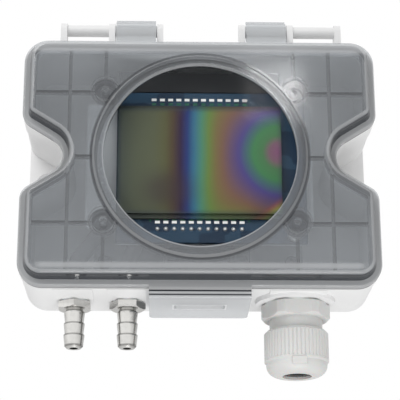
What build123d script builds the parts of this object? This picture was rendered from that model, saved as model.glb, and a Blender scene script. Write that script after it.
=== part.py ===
from build123d import *
import os
from math import cos, radians, sin, sqrt, tan

# Wall-mounted differential pressure transmitter.
# Frame: the wall is the plane y = 0 and the front looks along -Y, so a height h above
# the wall is y = -h. +X is to the right and +Z is up. The origin is the middle of the
# flat rear face. Lengths are millimetres.

# Round window, which sets the width and the height of the case around it
WINDOW_R = 29.0
BEZEL_W = 3.4
BEZEL_H = 1.0
BEZEL_BEVEL = 0.8
SEAT_W = 1.9
SEAT_DEPTH = 0.8
LENS_GAP = 0.1
LENS_FLANGE_T = 1.6
LENS_PROUD = 0.9
COLLAR_W = 1.2

# Outline shared by the housing, the seal and the lid
LAND_SIDE = 9.1
LAND_TOP = 7.1
WAIST_DEPTH = 12.5
WAIST_Z = 1.5
WAIST_R = 6.2
CORNER_R = 7.5
WAIST_ANGLE = 32.5
LOBE_R = 4.6

# Rear housing
WALL = 2.4
FLOOR = 2.5
RIM_STEP = 0.3
RIM_BAND = 2.4
WAIST_BAND = 8.0
EAR_T = 2.5
EAR_HOLE_REACH = 6.0
EAR_HOLE_R = 2.25
EAR_SINK_R = 4.4
BACK_EDGE = 0.8
SEAL_GROOVE_W = 1.2
SEAL_GROOVE_INSET = 0.75
SEAL_GROOVE_D = 1.3
SEAL_GAP = 0.2

# Lid
LID_EDGE_T = 2.8
LID_EDGE_R = 0.7
LIP_WALL = 2.4
LIP_D = 1.6
DOME_H = 5.0
DOME_INSET = 1.7
DOME_LEAN = 0.9
DOME_EDGE_R = 1.6
DOME_WALL = 2.3
TOP_WALL = 2.2
RIB_T = 1.0
RIB_D = 1.6
RIB_INSET = 14.5
BOSS_ANGLE = 36.06
BOSS_GAP = 0.3
BOSS_R = 3.1
BOSS_HOLE_R = 1.2
BOSS_D = 4.4
BOSS_COLLAR_R = 4.2
BOSS_COLLAR_D = 0.6

# Lid hinge: bars on the housing, open clips on the lid
HINGE_SETBACK = 2.5
HINGE_RISE = 5.7
HINGE_MID_X = 0.6
HINGE_INSET = 26.1
KNUCKLE_PITCH = 15.05
KNUCKLE_T = 2.0
KNUCKLE_R = 2.4
BAR_R = 1.85
CLIP_GAP = 0.2
CLIP_WALL = 0.8
CLIP_SIDE_GAP = 0.32
CLIP_MOUTH = 100.0
CLIP_TAB_RISE = 4.0
CLIP_TAB_T = 1.1
CLIP_WEB_T = 1.6

# Snap latch, one piece with the lid
LATCH_W = 30.1
LATCH_REACH = 3.6
LATCH_T = 1.9
LATCH_RUN = 20.5
LATCH_CORNER_R = 1.8
LATCH_SLOT_W = 15.3
LATCH_SLOT_D = 4.6
LATCH_SLOT_BACK = 7.5
TOOTH_GAP = 0.2
TOOTH_SIDE_GAP = 0.5
GRIP_GROOVE = 0.5

# Pressure ports
PORT_PITCH = 16.0
PORT_LATCH_GAP = 1.07
FLAT_TURN = 30.0
PORT_TURNS = (0.0, FLAT_TURN)
PORT_PAD_R = 5.8
PORT_PAD_PROUD = 0.6
PORT_THREAD_R = 3.0
PORT_HOLE_GAP = 0.1
PORT_BORE_R = 1.25
PORT_WASHER_T = 0.5
PORT_WASHER_R = 4.6
PORT_HEX_AF = 9.5
PORT_HEX_T = 2.1
BARB_NECK_R = 2.6
BARB_NECK_L = 0.8
BARB_TOP_R = 3.15
BARB_LAND = 0.5
BARB_LOW_R = 2.8
BARB_PITCH = 3.5
BARB_COUNT = 3
BARB_TIP_CUT = 0.6
PORT_NUT_T = 2.4
STUB_R = 1.6
STUB_L = 7.0

# Hoses and pressure sensor
HOSE_R = 2.5
HOSE_BORE_GAP = 0.05
HOSE_BEND_R = 5.0
SENSOR_PORT_PITCH = 12.0
SENSOR_W = 16.0
SENSOR_L = 14.0
SENSOR_T = 8.0
SENSOR_EDGE = 0.4
SENSOR_CHAMFER = 0.8
SENSOR_RISE = 26.8
SENSOR_PORT_L = 7.0

# Cable gland
GLAND_LATCH_GAP = 3.95
GLAND_PAD_RIM = 1.7
GLAND_PAD_EDGE = 1.9
GLAND_PAD_PROUD = 1.4
GLAND_THREAD_R = 8.0
GLAND_HOLE_GAP = 0.15
GLAND_WASHER_T = 0.6
GLAND_HEX_RIM = 1.6
GLAND_HEX_ROUND = 0.8
GLAND_HEX_T = 4.4
GLAND_NECK = 3.4
GLAND_WALL = 2.7
GLAND_INNER_SPARE = 1.0
GLAND_OUTER_THREAD_L = 5.2
GLAND_CLAW_L = 3.3
GLAND_CLAW_T = 1.0
GLAND_CLAW_LEAN = 0.6
GLAND_CLAW_SLOTS = 6
GLAND_CLAW_W = 0.9
LOCKNUT_RIM = 2.5
LOCKNUT_T = 4.4
DOME_NUT_RIM = 1.7
DOME_NUT_BAND = 9.4
DOME_NUT_L = 13.7
DOME_NUT_GROOVES = 48
DOME_NUT_GROOVE_D = 0.28
DOME_NUT_STEP = 0.5
DOME_NUT_MOUTH_R = 4.4
DOME_NUT_MOUTH_L = 0.8
DOME_NUT_SHOULDER = 0.9
DOME_NUT_ROUND = 3.4
DOME_NUT_CONE_R = 1.2
DOME_NUT_GAP = 0.2
DOME_NUT_MARK_W = 4.2
DOME_NUT_MARK_L = 2.2
DOME_NUT_MARK_DROP = 1.2
DOME_NUT_MARK_OUT = 0.15
BUSH_GAP = 0.1
BUSH_SETBACK = 1.4
CABLE_R = 3.4

# Boards and what they carry
BOARD_T = 1.6
BOARD_LOW_GAP = 7.3
BOARD_TOP_GAP = 5.8
BOARD_BACK = 8.0
POST_R = 3.0
POST_HOLE_R = 1.15
POST_INSET = 3.4
SCREW_R = 1.1
SCREW_HEAD_R = 2.2
SCREW_HEAD_T = 1.7
SCREW_L = 6.0
SCREW_HOLE_GAP = 0.2
CROSS_W = 0.6
CROSS_L = 2.6
CROSS_TURN = 30.0
DISPLAY_DROP = 2.2
DISPLAY_MID_Z = -0.8
DISPLAY_MARGIN = 0.4
DISPLAY_SCREW_INSET = 4.0
DISPLAY_PEG_R = 1.0
DISPLAY_PEG_INSET = 3.2
DISPLAY_PEG_Z = 15.0
CARRIER_T = 1.8
CARRIER_REACH = 2.1
CARRIER_CORNER_R = 1.5
CARRIER_OPEN_W = 34.0
CARRIER_OPEN_R = 2.0
CARRIER_OPEN_EDGE = 3.0
CARRIER_POST_INSET = 2.9
CARRIER_POST_DROP = 4.0
CARRIER_POST_R = 2.6
CARRIER_POST_EDGE = 3.4
CARRIER_PEG_R = 1.2
PEG_GAP = 0.1
NAME_PLATE_GAP = 0.4
NAME_PLATE_L = 7.0
NAME_PLATE_T = 1.0
LCD_HALF_W = 24.8
LCD_MID_Z = 0.4
LCD_HALF_H = 16.9
LCD_GLASS_T = 1.1
LCD_LEDGE = 1.3
LCD_CORNER = 2.0
PIN_PITCH = 2.54
PAD_W = 1.5
PAD_L = 0.8
PAD_T = 0.3
PAD_TOP_REACH = 2.4
PAD_TOP_COUNT = 12
PAD_LOW_REACH = 0.9
PAD_LOW_COUNT = 11
JOINT_REACH = 2.9
JOINT_R = 0.65
HEADER_GAP = 4.65
HEADER_COUNT = 8
HEADER_W = 2.5
HEADER_PIN_W = 0.64
SOCKET_T = 8.5
SOCKET_HOLE_W = 1.0
TERMINAL_SIDE_GAP = 1.9
TERMINAL_LOW_GAP = 5.2
TERMINAL_D = 6.9
TERMINAL_T = 12.0
TERMINAL_PITCH = 5.08
TERMINAL_END = 0.3
TERMINAL_COUNT = 5
TERMINAL_WELL_R = 1.95
TERMINAL_WELL_D = 5.5
TERMINAL_ENTRY_W = 3.4
TERMINAL_ENTRY_L = 5.0
TERMINAL_ENTRY_T = 3.6
TERMINAL_FLOOR = 1.4
TERMINAL_SEAM = 0.3
TERMINAL_SCREW_GAP = 0.2
TERMINAL_SCREW_T = 2.4
SCREW_SLOT_W = 0.6
SCREW_SLOT_D = 0.8
DIP_X = -5.0
DIP_GAP = 4.6
DIP_COUNT = 4
DIP_D = 6.2
DIP_T = 3.2
DIP_SLOT_L = 3.6
DIP_SLOT_W = 1.5
DIP_SLOT_DEPTH = 1.5
DIP_KNOB_L = 1.6
DIP_KNOB_GAP = 0.25
DIP_KNOB_PROUD = 0.5
ZERO_X = 18.0
ZERO_Z = 6.0
ZERO_BODY_W = 6.0
ZERO_BODY_T = 3.5
ZERO_R = 1.6
ZERO_GAP = 0.25
ZERO_PROUD = 2.4
ZERO_SUNK = 0.8
ZERO_TRAVEL = 0.3
CHIP_W = 9.0
CHIP_T = 1.2
CHIP_X = 6.0
CHIP_DROP = 17.0
CONVERTER_W = 6.0
CONVERTER_L = 5.0
CONVERTER_X = -6.5
CONVERTER_DROP = 21.0
REGULATOR_W = 5.0
REGULATOR_L = 4.0
REGULATOR_INSET = 10.4
REGULATOR_DROP = 9.0
CAPACITOR_R = 3.0
CAPACITOR_T = 6.0
CAPACITOR_INSET = 19.4
CAPACITOR_DROP = 7.0
CAPACITOR_EDGE = 0.4

# Sizes worked out from those above
HEX_CORNER = 1 / cos(radians(FLAT_TURN))
BEZEL_R = WINDOW_R + BEZEL_W
SEAT_R = WINDOW_R + SEAT_W
WAIST_APEX = BEZEL_R + LAND_SIDE
CASE_W = 2 * (WAIST_APEX + WAIST_DEPTH)
CASE_H = 2 * (BEZEL_R + LAND_TOP)
EAR_HOLE_X = WAIST_APEX + EAR_HOLE_REACH
BOSS_REACH = SEAT_R + COLLAR_W + BOSS_R + BOSS_GAP
BOSS_X = BOSS_REACH * cos(radians(BOSS_ANGLE))
BOSS_Z = BOSS_REACH * sin(radians(BOSS_ANGLE))
RIB_OUTER_X = CASE_W / 2 - RIB_INSET
GLAND_HEX_AF = 2 * (GLAND_THREAD_R + GLAND_HEX_RIM)
GLAND_HEX_ROUND_R = GLAND_HEX_AF / 2 + GLAND_HEX_ROUND
GLAND_PAD_R = GLAND_HEX_ROUND_R + GLAND_PAD_RIM
GLAND_BORE_R = GLAND_THREAD_R - GLAND_WALL
LOCKNUT_AF = 2 * (GLAND_THREAD_R + LOCKNUT_RIM)
DOME_NUT_R = GLAND_THREAD_R + DOME_NUT_RIM
RIM_FRONT = 2 * (GLAND_PAD_R + GLAND_PAD_EDGE)
RIM_BACK = RIM_FRONT - RIM_BAND
PORT_H = RIM_FRONT / 2
LID_BACK = RIM_FRONT + SEAL_GAP
LID_FRONT = LID_BACK + LID_EDGE_T
DOME_TOP = LID_FRONT + DOME_H
CEILING = DOME_TOP - TOP_WALL
HINGE_H = RIM_FRONT - HINGE_SETBACK
HINGE_Z = CASE_H / 2 + HINGE_RISE
HINGE_GROUP_X = CASE_W / 2 - HINGE_INSET
HINGE_GROUPS = (HINGE_MID_X - HINGE_GROUP_X, HINGE_MID_X + HINGE_GROUP_X)
CLIP_INNER_R = BAR_R + CLIP_GAP
CLIP_OUTER_R = CLIP_INNER_R + CLIP_WALL
CLIP_W = KNUCKLE_PITCH - KNUCKLE_T - 2 * CLIP_SIDE_GAP
CASE_BOTTOM = -(CASE_H / 2 - RIM_STEP)
CASE_INNER_BOTTOM = CASE_BOTTOM + WALL
CASE_INNER_TOP = CASE_H / 2 - RIM_STEP - WALL
LATCH_END_H = RIM_FRONT - LATCH_RUN
LATCH_SLOT_H = RIM_FRONT - LATCH_SLOT_BACK
LATCH_OUTER_Z = -(CASE_H / 2 + LATCH_REACH)
LATCH_INNER_Z = LATCH_OUTER_Z + LATCH_T
LOW_PORT_X = -(LATCH_W / 2 + PORT_LATCH_GAP + PORT_HEX_AF / 2 * HEX_CORNER)
PORT_XS = (LOW_PORT_X - PORT_PITCH, LOW_PORT_X)
PORT_PAD_Z = CASE_BOTTOM - PORT_PAD_PROUD
PORT_HEX_Z = PORT_PAD_Z - PORT_WASHER_T
GLAND_X = LATCH_W / 2 + GLAND_LATCH_GAP + GLAND_HEX_ROUND_R
GLAND_PAD_Z = CASE_BOTTOM - GLAND_PAD_PROUD
GLAND_HEX_Z = GLAND_PAD_Z - GLAND_WASHER_T
NUT_TOP_Z = GLAND_HEX_Z - GLAND_HEX_T - GLAND_NECK
NUT_END_Z = NUT_TOP_Z - DOME_NUT_L
CLAW_TOP_Z = NUT_TOP_Z - GLAND_OUTER_THREAD_L
CLAW_END_Z = CLAW_TOP_Z - GLAND_CLAW_L
BOARD_FRONT = BOARD_BACK + BOARD_T
BOARD_HALF_W = BEZEL_R
BOARD_LOW_Z = CASE_INNER_BOTTOM + BOARD_LOW_GAP
BOARD_TOP_Z = CASE_INNER_TOP - BOARD_TOP_GAP
POST_X = BOARD_HALF_W - POST_INSET
SENSOR_MID_X = SENSOR_EDGE + SENSOR_W / 2 - BOARD_HALF_W
SENSOR_LOW_Z = CASE_INNER_BOTTOM + SENSOR_RISE
SENSOR_TOP_Z = SENSOR_LOW_Z + SENSOR_L
DISPLAY_BACK = RIM_FRONT - DISPLAY_DROP
DISPLAY_FRONT = DISPLAY_BACK + BOARD_T
DISPLAY_LEFT = -(LCD_HALF_W + DISPLAY_MARGIN)
DISPLAY_RIGHT = max(BEZEL_R, LCD_HALF_W + DISPLAY_MARGIN)
DISPLAY_SCREW_X = DISPLAY_RIGHT - DISPLAY_SCREW_INSET
LCD_REACH = LCD_HALF_H + LCD_LEDGE + LCD_MID_Z - DISPLAY_MID_Z
DISPLAY_SCREW_REACH = LCD_REACH + SCREW_HEAD_R + SCREW_HOLE_GAP
DISPLAY_HALF_H = DISPLAY_SCREW_REACH + SCREW_HEAD_R + SCREW_HOLE_GAP
DISPLAY_TOP_Z = DISPLAY_MID_Z + DISPLAY_HALF_H
DISPLAY_LOW_Z = DISPLAY_MID_Z - DISPLAY_HALF_H
CARRIER_BACK = DISPLAY_BACK - CARRIER_T
CARRIER_HALF_W = BEZEL_R + CARRIER_REACH
CARRIER_POST_LOW_Z = SENSOR_LOW_Z - CARRIER_POST_DROP
CARRIER_POST_TOP_Z = (SENSOR_TOP_Z + BOARD_TOP_Z - POST_INSET) / 2
CARRIER_HALF_H = CARRIER_POST_R + CARRIER_POST_EDGE - CARRIER_POST_LOW_Z
TERMINAL_W = TERMINAL_COUNT * TERMINAL_PITCH + 2 * TERMINAL_END
TERMINAL_RIGHT = GLAND_X - LOCKNUT_AF / 2 * HEX_CORNER - TERMINAL_SIDE_GAP
TERMINAL_X = TERMINAL_RIGHT - TERMINAL_W / 2
TERMINAL_LOW_Z = CASE_INNER_BOTTOM + TERMINAL_LOW_GAP
DIP_Z = TERMINAL_LOW_Z + TERMINAL_D + DIP_GAP + DIP_D / 2
HEADER_Z = DIP_Z + DIP_D / 2 + HEADER_GAP + HEADER_W / 2
CARRIER_OPEN_LOW_Z = HEADER_Z - HEADER_W / 2 - CARRIER_OPEN_EDGE
CARRIER_OPEN_TOP_Z = ZERO_Z + ZERO_BODY_W / 2 + CARRIER_OPEN_EDGE

os.makedirs("parts", exist_ok=True)


def front_plane(h):
    """Plane at height h whose sketches are seen from the front, as (x, z)."""
    return Plane(origin=(0, -h, 0), x_dir=(1, 0, 0), z_dir=(0, -1, 0))


def slab(sketch, low, high):
    """Solid with the sketch as its front view, between two heights above the wall."""
    return extrude(front_plane(low) * sketch, high - low)


def side_solid(sketch, mid_x, width):
    """Solid with the sketch as its side view, as (h, z), and its middle at mid_x."""
    plane = Plane(origin=(mid_x, 0, 0), x_dir=(0, -1, 0), z_dir=(-1, 0, 0))
    return extrude(plane * sketch, width / 2, both=True)


def plan_solid(sketch, x, h, top_z, bottom_z):
    """Solid with the sketch as its view from below, from top_z down to bottom_z."""
    plane = Plane(origin=(x, -h, top_z), x_dir=(1, 0, 0), z_dir=(0, 0, -1))
    return extrude(plane * sketch, top_z - bottom_z)


def turned(points, x, h):
    """Solid of revolution about the upright axis at (x, h), from (radius, z) points."""
    profile = make_face(Plane.XZ * Polyline(*points, close=True))
    return Pos(x, -h, 0) * revolve(profile, Axis.Z)


def block(x_low, x_high, z_low, z_high, h_low, h_high):
    """Plain block between the given limits."""
    middle = Pos((x_low + x_high) / 2, (z_low + z_high) / 2)
    return slab(middle * Rectangle(x_high - x_low, z_high - z_low), h_low, h_high)


def disc(x, z, radius, h_low, h_high):
    """Round rod square to the wall."""
    return slab(Pos(x, z) * Circle(radius), h_low, h_high)


def mirrored(places):
    """Every place with its mirror images left to right and top to bottom."""
    return [(sx * x, sz * z) for x, z in places for sx in (-1, 1) for sz in (-1, 1)]


def round_at(sketch, places, radius):
    """Round the corners of a sketch that lie at the given places."""
    chosen = []
    for corner in sketch.vertices():
        for x, y in places:
            if abs(corner.X - x) < 0.001 and abs(corner.Y - y) < 0.001:
                chosen.append(corner)
    return fillet(chosen, radius)


def outline(inset=0.0):
    """Front view of the case, moved in by inset: a rectangle with a waist each side."""
    half_w = CASE_W / 2 - inset
    half_h = CASE_H / 2 - inset
    lean = radians(WAIST_ANGLE)
    tip = WAIST_APEX + WAIST_R - (WAIST_R + inset) / sin(lean)
    reach = (half_w - tip) * tan(lean)
    right = [
        (half_w, -half_h),
        (half_w, WAIST_Z - reach),
        (tip, WAIST_Z),
        (half_w, WAIST_Z + reach),
        (half_w, half_h),
    ]
    left = [(-x, z) for x, z in reversed(right)]
    face = make_face(Polyline(*right, *left, close=True))
    corners = [right[0], right[4], left[0], left[4]]
    lobes = [right[1], right[3], left[1], left[3]]
    tips = [right[2], left[2]]
    face = round_at(face, tips, WAIST_R + inset)
    face = round_at(face, corners, max(CORNER_R - inset, 0.5))
    return round_at(face, lobes, max(LOBE_R - inset, 0.5))


def hexagon(across_flats, turn=0.0):
    """Hexagon with a corner to the front, or a flat when turned by 30 degrees."""
    return Rot(0, 0, turn) * RegularPolygon(across_flats / 2, 6, major_radius=False, rotation=30)


def port_places():
    """Each pressure port's x, its hexagon's turn and its sensor port's x."""
    sides = (-1, 1)
    return [(x, turn, SENSOR_MID_X + side * SENSOR_PORT_PITCH / 2)
            for x, turn, side in zip(PORT_XS, PORT_TURNS, sides)]


def pin_row(count):
    """Places along X of a row of pins."""
    return [(index - (count - 1) / 2) * PIN_PITCH for index in range(count)]


def board_screw_places():
    """Front view places of the screws that hold the main board."""
    levels = (BOARD_LOW_Z + POST_INSET, BOARD_TOP_Z - POST_INSET)
    return [(side * POST_X, z) for side in (-1, 1) for z in levels]


def display_screw_places():
    """Front view places of the screws that hold the display board."""
    return [(DISPLAY_SCREW_X, DISPLAY_MID_Z + side * DISPLAY_SCREW_REACH) for side in (-1, 1)]


def display_peg_places():
    """Front view places of the pegs under the display's left end."""
    return [(DISPLAY_LEFT + DISPLAY_PEG_INSET, side * DISPLAY_PEG_Z) for side in (-1, 1)]


def carrier_post_places():
    """Front view places of the posts that stand the carrier on the main board."""
    top = (BOARD_HALF_W - CARRIER_POST_INSET, CARRIER_POST_TOP_Z)
    low = (-SENSOR_MID_X, CARRIER_POST_LOW_Z)
    return [(side * x, z) for x, z in (top, low) for side in (-1, 1)]


def housing_pads():
    """Raised pads under the case that the ports and the gland seat on."""
    pads = []
    for x in PORT_XS:
        pads.append((x, PORT_PAD_R, PORT_PAD_R, PORT_PAD_Z))
    pads.append((GLAND_X, GLAND_PAD_R, GLAND_PAD_R * 0.7, GLAND_PAD_Z))
    top_z = CASE_INNER_BOTTOM - WALL / 2
    solids = []
    for x, radius, half_w, end_z in pads:
        solids.append(plan_solid(Circle(radius), x, PORT_H, top_z, end_z))
        run = RIM_FRONT - SEAL_GAP - PORT_H
        strip = Pos(0, run / 2) * Rectangle(2 * half_w, run)
        strip_top = -(CASE_H / 2 - SEAL_GROOVE_INSET / 2)
        strip_z = CASE_BOTTOM - PORT_PAD_PROUD
        solids.append(plan_solid(strip, x, PORT_H, strip_top, strip_z))
    return solids


def housing_hinge():
    """Knuckles on the top wall and the bars that they carry."""
    arm_low_z = CASE_H / 2 - SEAL_GROOVE_INSET / 2 - RIM_STEP / 2
    arm = Pos(HINGE_H, (arm_low_z + HINGE_Z) / 2) * Rectangle(2 * KNUCKLE_R, HINGE_Z - arm_low_z)
    ring = Pos(HINGE_H, HINGE_Z) * Circle(KNUCKLE_R)
    solids = []
    for group_x in HINGE_GROUPS:
        for step in (-1, 0, 1):
            solids.append(side_solid(arm + ring, group_x + step * KNUCKLE_PITCH, KNUCKLE_T))
        bar = Pos(HINGE_H, HINGE_Z) * Circle(BAR_R)
        solids.append(side_solid(bar, group_x, 2 * KNUCKLE_PITCH))
    return solids


def snap_tooth():
    """Wedge under the case that the latch snaps over, just clear of the plate."""
    tip_z = LATCH_INNER_Z + TOOTH_GAP
    half = LATCH_SLOT_D / 2 - TOOTH_SIDE_GAP
    wedge = make_face(Polyline(
        (LATCH_SLOT_H - half, CASE_BOTTOM + WALL / 2),
        (LATCH_SLOT_H - half, tip_z),
        (LATCH_SLOT_H + half / 2, tip_z),
        (LATCH_SLOT_H + half, CASE_BOTTOM - PORT_PAD_PROUD),
        (LATCH_SLOT_H + half, CASE_BOTTOM + WALL / 2),
        close=True,
    ))
    return side_solid(wedge, 0, LATCH_SLOT_W - 2 * TOOTH_SIDE_GAP)


def make_rear_housing():
    """Open box with a rim, a waist each side, mounting ears, pads and hinge bars."""
    body = slab(outline(RIM_STEP), 0, RIM_BACK)
    body = chamfer(body.faces().sort_by(Axis.Y)[-1].edges(), BACK_EDGE)
    waist_reach = (WAIST_DEPTH + WAIST_R) * tan(radians(WAIST_ANGLE))
    waist_window = Rectangle(CASE_W + 1, 2 * waist_reach + WALL)
    waist = outline() & Pos(0, WAIST_Z) * waist_window
    body += slab(waist, RIM_FRONT - WAIST_BAND, RIM_BACK)
    body += slab(outline(), RIM_BACK, RIM_FRONT)
    cavity = slab(outline(RIM_STEP + WALL), FLOOR, RIM_FRONT)
    body -= cavity
    groove = outline(SEAL_GROOVE_INSET) - outline(SEAL_GROOVE_INSET + SEAL_GROOVE_W)
    body -= slab(groove, RIM_FRONT - SEAL_GROOVE_D, RIM_FRONT)
    plate_w = CASE_W - 2 * RIM_STEP
    ear_h = 2 * (CASE_W / 2 - WAIST_APEX + WAIST_R)
    ears = slab(Pos(0, WAIST_Z) * Rectangle(plate_w, ear_h), 0, EAR_T)
    ears -= slab(outline(RIM_STEP + WALL), 0, EAR_T)
    body += ears
    for side in (-1, 1):
        x = side * EAR_HOLE_X
        body -= disc(x, WAIST_Z, EAR_HOLE_R, 0, EAR_T)
        sink = Cone(EAR_HOLE_R, EAR_SINK_R, EAR_SINK_R - EAR_HOLE_R,
                    align=(Align.CENTER, Align.CENTER, Align.MAX))
        body -= Pos(x, -EAR_T, WAIST_Z) * Rot(90, 0, 0) * sink
    for x, z in board_screw_places():
        body += disc(x, z, POST_R, FLOOR / 2, BOARD_BACK)
        body -= disc(x, z, POST_HOLE_R, FLOOR, BOARD_BACK)
    body += housing_pads()
    for x in PORT_XS:
        hole = Circle(PORT_THREAD_R + PORT_HOLE_GAP)
        body -= plan_solid(hole, x, PORT_H, CASE_INNER_BOTTOM + 1, PORT_PAD_Z)
    gland_hole = Circle(GLAND_THREAD_R + GLAND_HOLE_GAP)
    body -= plan_solid(gland_hole, GLAND_X, PORT_H, CASE_INNER_BOTTOM + 1, GLAND_PAD_Z)
    body += snap_tooth()
    body += housing_hinge()
    return body


def make_seal():
    """Rubber seal in the groove of the rim."""
    loop = outline(SEAL_GROOVE_INSET) - outline(SEAL_GROOVE_INSET + SEAL_GROOVE_W)
    return slab(loop, RIM_FRONT - SEAL_GROOVE_D, RIM_FRONT + SEAL_GAP / 2)


def lid_ribs():
    """Stiffening ribs and screw bosses under the top of the lid."""
    inner_h = CASE_H / 2 - DOME_INSET
    inner_w = CASE_W / 2 - DOME_INSET
    reach = inner_h - BOSS_Z
    sketch = Sketch()
    for side in (-1, 1):
        sketch += Pos(side * RIB_OUTER_X, 0) * Rectangle(RIB_T, 2 * inner_h)
        span = RIB_OUTER_X - SEAT_R
        sketch += Pos(side * (SEAT_R + span / 2), 0) * Rectangle(span, RIB_T)
        for up in (-1, 1):
            sketch += Pos(side * BOSS_X, up * (BOSS_Z + reach / 2)) * Rectangle(RIB_T, reach)
            run = inner_w - BOSS_X
            sketch += Pos(side * (BOSS_X + run / 2), up * BOSS_Z) * Rectangle(run, RIB_T)
    ribs = slab(sketch, CEILING - RIB_D, CEILING)
    ribs = ribs & slab(outline(DOME_INSET + DOME_WALL / 2), CEILING - RIB_D, CEILING)
    for x, z in mirrored([(BOSS_X, BOSS_Z)]):
        collar = Circle(BOSS_COLLAR_R)
        ribs += slab(Pos(x, z) * collar, CEILING - BOSS_COLLAR_D, CEILING)
        ribs += disc(x, z, BOSS_R, CEILING - BOSS_D, CEILING)
        ribs -= disc(x, z, BOSS_HOLE_R, CEILING - BOSS_D, CEILING)
    return ribs


def lid_clip():
    """Side view of a hinge clip: an open ring, its lead-in tab and its web."""
    centre = Pos(HINGE_H, HINGE_Z)
    half = radians(CLIP_MOUTH / 2)
    far = 2 * CLIP_OUTER_R
    mouth = make_face(Polyline(
        (0, 0),
        (-far * cos(half), far * sin(half)),
        (-far, far * sin(half)),
        (-far, -far * sin(half)),
        (-far * cos(half), -far * sin(half)),
        close=True,
    ))
    ring = Circle(CLIP_OUTER_R) - Circle(CLIP_INNER_R) - mouth
    tab_low = CLIP_INNER_R + CLIP_WALL / 2
    tab = Pos(-CLIP_TAB_T, (tab_low + CLIP_TAB_RISE) / 2)
    tab = tab * Rectangle(CLIP_TAB_T, CLIP_TAB_RISE - tab_low)
    lug = Pos(-CLIP_TAB_T / 2, tab_low) * Rectangle(CLIP_TAB_T * 2, CLIP_WALL)
    web_low = CASE_H / 2 - DOME_INSET - HINGE_Z
    web_rear = LID_BACK - HINGE_H
    web = make_face(Polyline(
        (web_rear, web_low),
        (web_rear, web_low + DOME_INSET + CLIP_WALL),
        (CLIP_INNER_R * 0.7, -CLIP_INNER_R * 0.8),
        (CLIP_OUTER_R, 0),
        (web_rear + CLIP_WEB_T, web_low + DOME_INSET + CLIP_WALL),
        (web_rear + CLIP_WEB_T, web_low),
        close=True,
    ))
    web -= Circle(CLIP_INNER_R + CLIP_WALL / 2)
    return centre * (ring + tab + lug + web)


def lid_latch():
    """Latch plate that runs back under the case, with its slot and grip."""
    root_z = -(CASE_H / 2 - DOME_INSET)
    front = block(-LATCH_W / 2, LATCH_W / 2, LATCH_OUTER_Z, root_z, LID_BACK, LID_FRONT)
    for share in (0.35, 0.7):
        z = -CASE_H / 2 - share * LATCH_REACH
        groove = Pos(LID_FRONT, z) * Rot(0, 0, 45) * Rectangle(GRIP_GROOVE, GRIP_GROOVE)
        front -= side_solid(groove, 0, LATCH_W)
    length = LID_FRONT - LATCH_END_H
    view = Pos(0, length / 2) * Rectangle(LATCH_W, length)
    ends = [(-LATCH_W / 2, 0), (LATCH_W / 2, 0)]
    view = round_at(view, ends, LATCH_CORNER_R)
    slot_at = LATCH_SLOT_H - LATCH_END_H
    view -= Pos(0, slot_at) * RectangleRounded(LATCH_SLOT_W, LATCH_SLOT_D, LATCH_SLOT_D / 4)
    plate = plan_solid(view, 0, LATCH_END_H, LATCH_INNER_Z, LATCH_OUTER_Z)
    latch = front + plate
    corner = [edge for edge in latch.edges().filter_by(Axis.X)
              if abs(edge.center().Y + LID_FRONT) < 0.01
              and abs(edge.center().Z - LATCH_OUTER_Z) < 0.01]
    return fillet(corner, LATCH_T / 3)


def make_lid():
    """Smoked lid: edge, dome, window opening, bezel, ribs, clips and latch in one."""
    edge = slab(outline(), LID_BACK, LID_FRONT)
    edge = fillet(edge.faces().sort_by(Axis.Y)[0].edges(), LID_EDGE_R)
    foot = front_plane(LID_FRONT - LID_EDGE_R) * outline(DOME_INSET)
    top = front_plane(DOME_TOP) * outline(DOME_INSET + DOME_LEAN)
    dome = loft([foot, top], ruled=True)
    dome = fillet(dome.faces().sort_by(Axis.Y)[0].edges(), DOME_EDGE_R)
    lid = edge + dome
    lid -= slab(outline(LIP_WALL), LID_BACK, LID_BACK + LIP_D)
    lid -= slab(outline(DOME_INSET + DOME_WALL), LID_BACK, CEILING)
    bezel = Cone(BEZEL_R, BEZEL_R - BEZEL_BEVEL, BEZEL_H,
                 align=(Align.CENTER, Align.CENTER, Align.MIN))
    lid += Pos(0, -DOME_TOP, 0) * Rot(90, 0, 0) * bezel
    lid += lid_ribs()
    lid += disc(0, 0, SEAT_R + COLLAR_W, CEILING - RIB_D, CEILING)
    lid -= disc(0, 0, SEAT_R, CEILING - RIB_D, CEILING + SEAT_DEPTH)
    lid -= disc(0, 0, WINDOW_R, CEILING, DOME_TOP + BEZEL_H)
    for side, group_x in zip((1, -1), HINGE_GROUPS):
        lid += side_solid(lid_clip(), group_x + side * KNUCKLE_PITCH / 2, CLIP_W)
    lid += lid_latch()
    return lid


def make_lens():
    """Clear window: a flange behind the lid and a raised centre in the opening."""
    seat = CEILING + SEAT_DEPTH
    lens = disc(0, 0, SEAT_R - LENS_GAP, seat - LENS_FLANGE_T, seat)
    return lens + disc(0, 0, WINDOW_R - LENS_GAP, seat, seat + LENS_PROUD)


def make_main_board():
    """Main circuit board with its screw and peg holes."""
    board = block(-BOARD_HALF_W, BOARD_HALF_W, BOARD_LOW_Z, BOARD_TOP_Z, BOARD_BACK, BOARD_FRONT)
    tongue_left = TERMINAL_RIGHT - TERMINAL_W - TERMINAL_END
    board += block(tongue_left, TERMINAL_RIGHT + TERMINAL_END, TERMINAL_LOW_Z - TERMINAL_END,
                   BOARD_LOW_Z + BOARD_T, BOARD_BACK, BOARD_FRONT)
    for x, z in board_screw_places():
        board -= disc(x, z, SCREW_R + SCREW_HOLE_GAP, BOARD_BACK, BOARD_FRONT)
    for x, z in carrier_post_places():
        board -= disc(x, z, CARRIER_PEG_R + PEG_GAP, BOARD_BACK, BOARD_FRONT)
    return board


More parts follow.
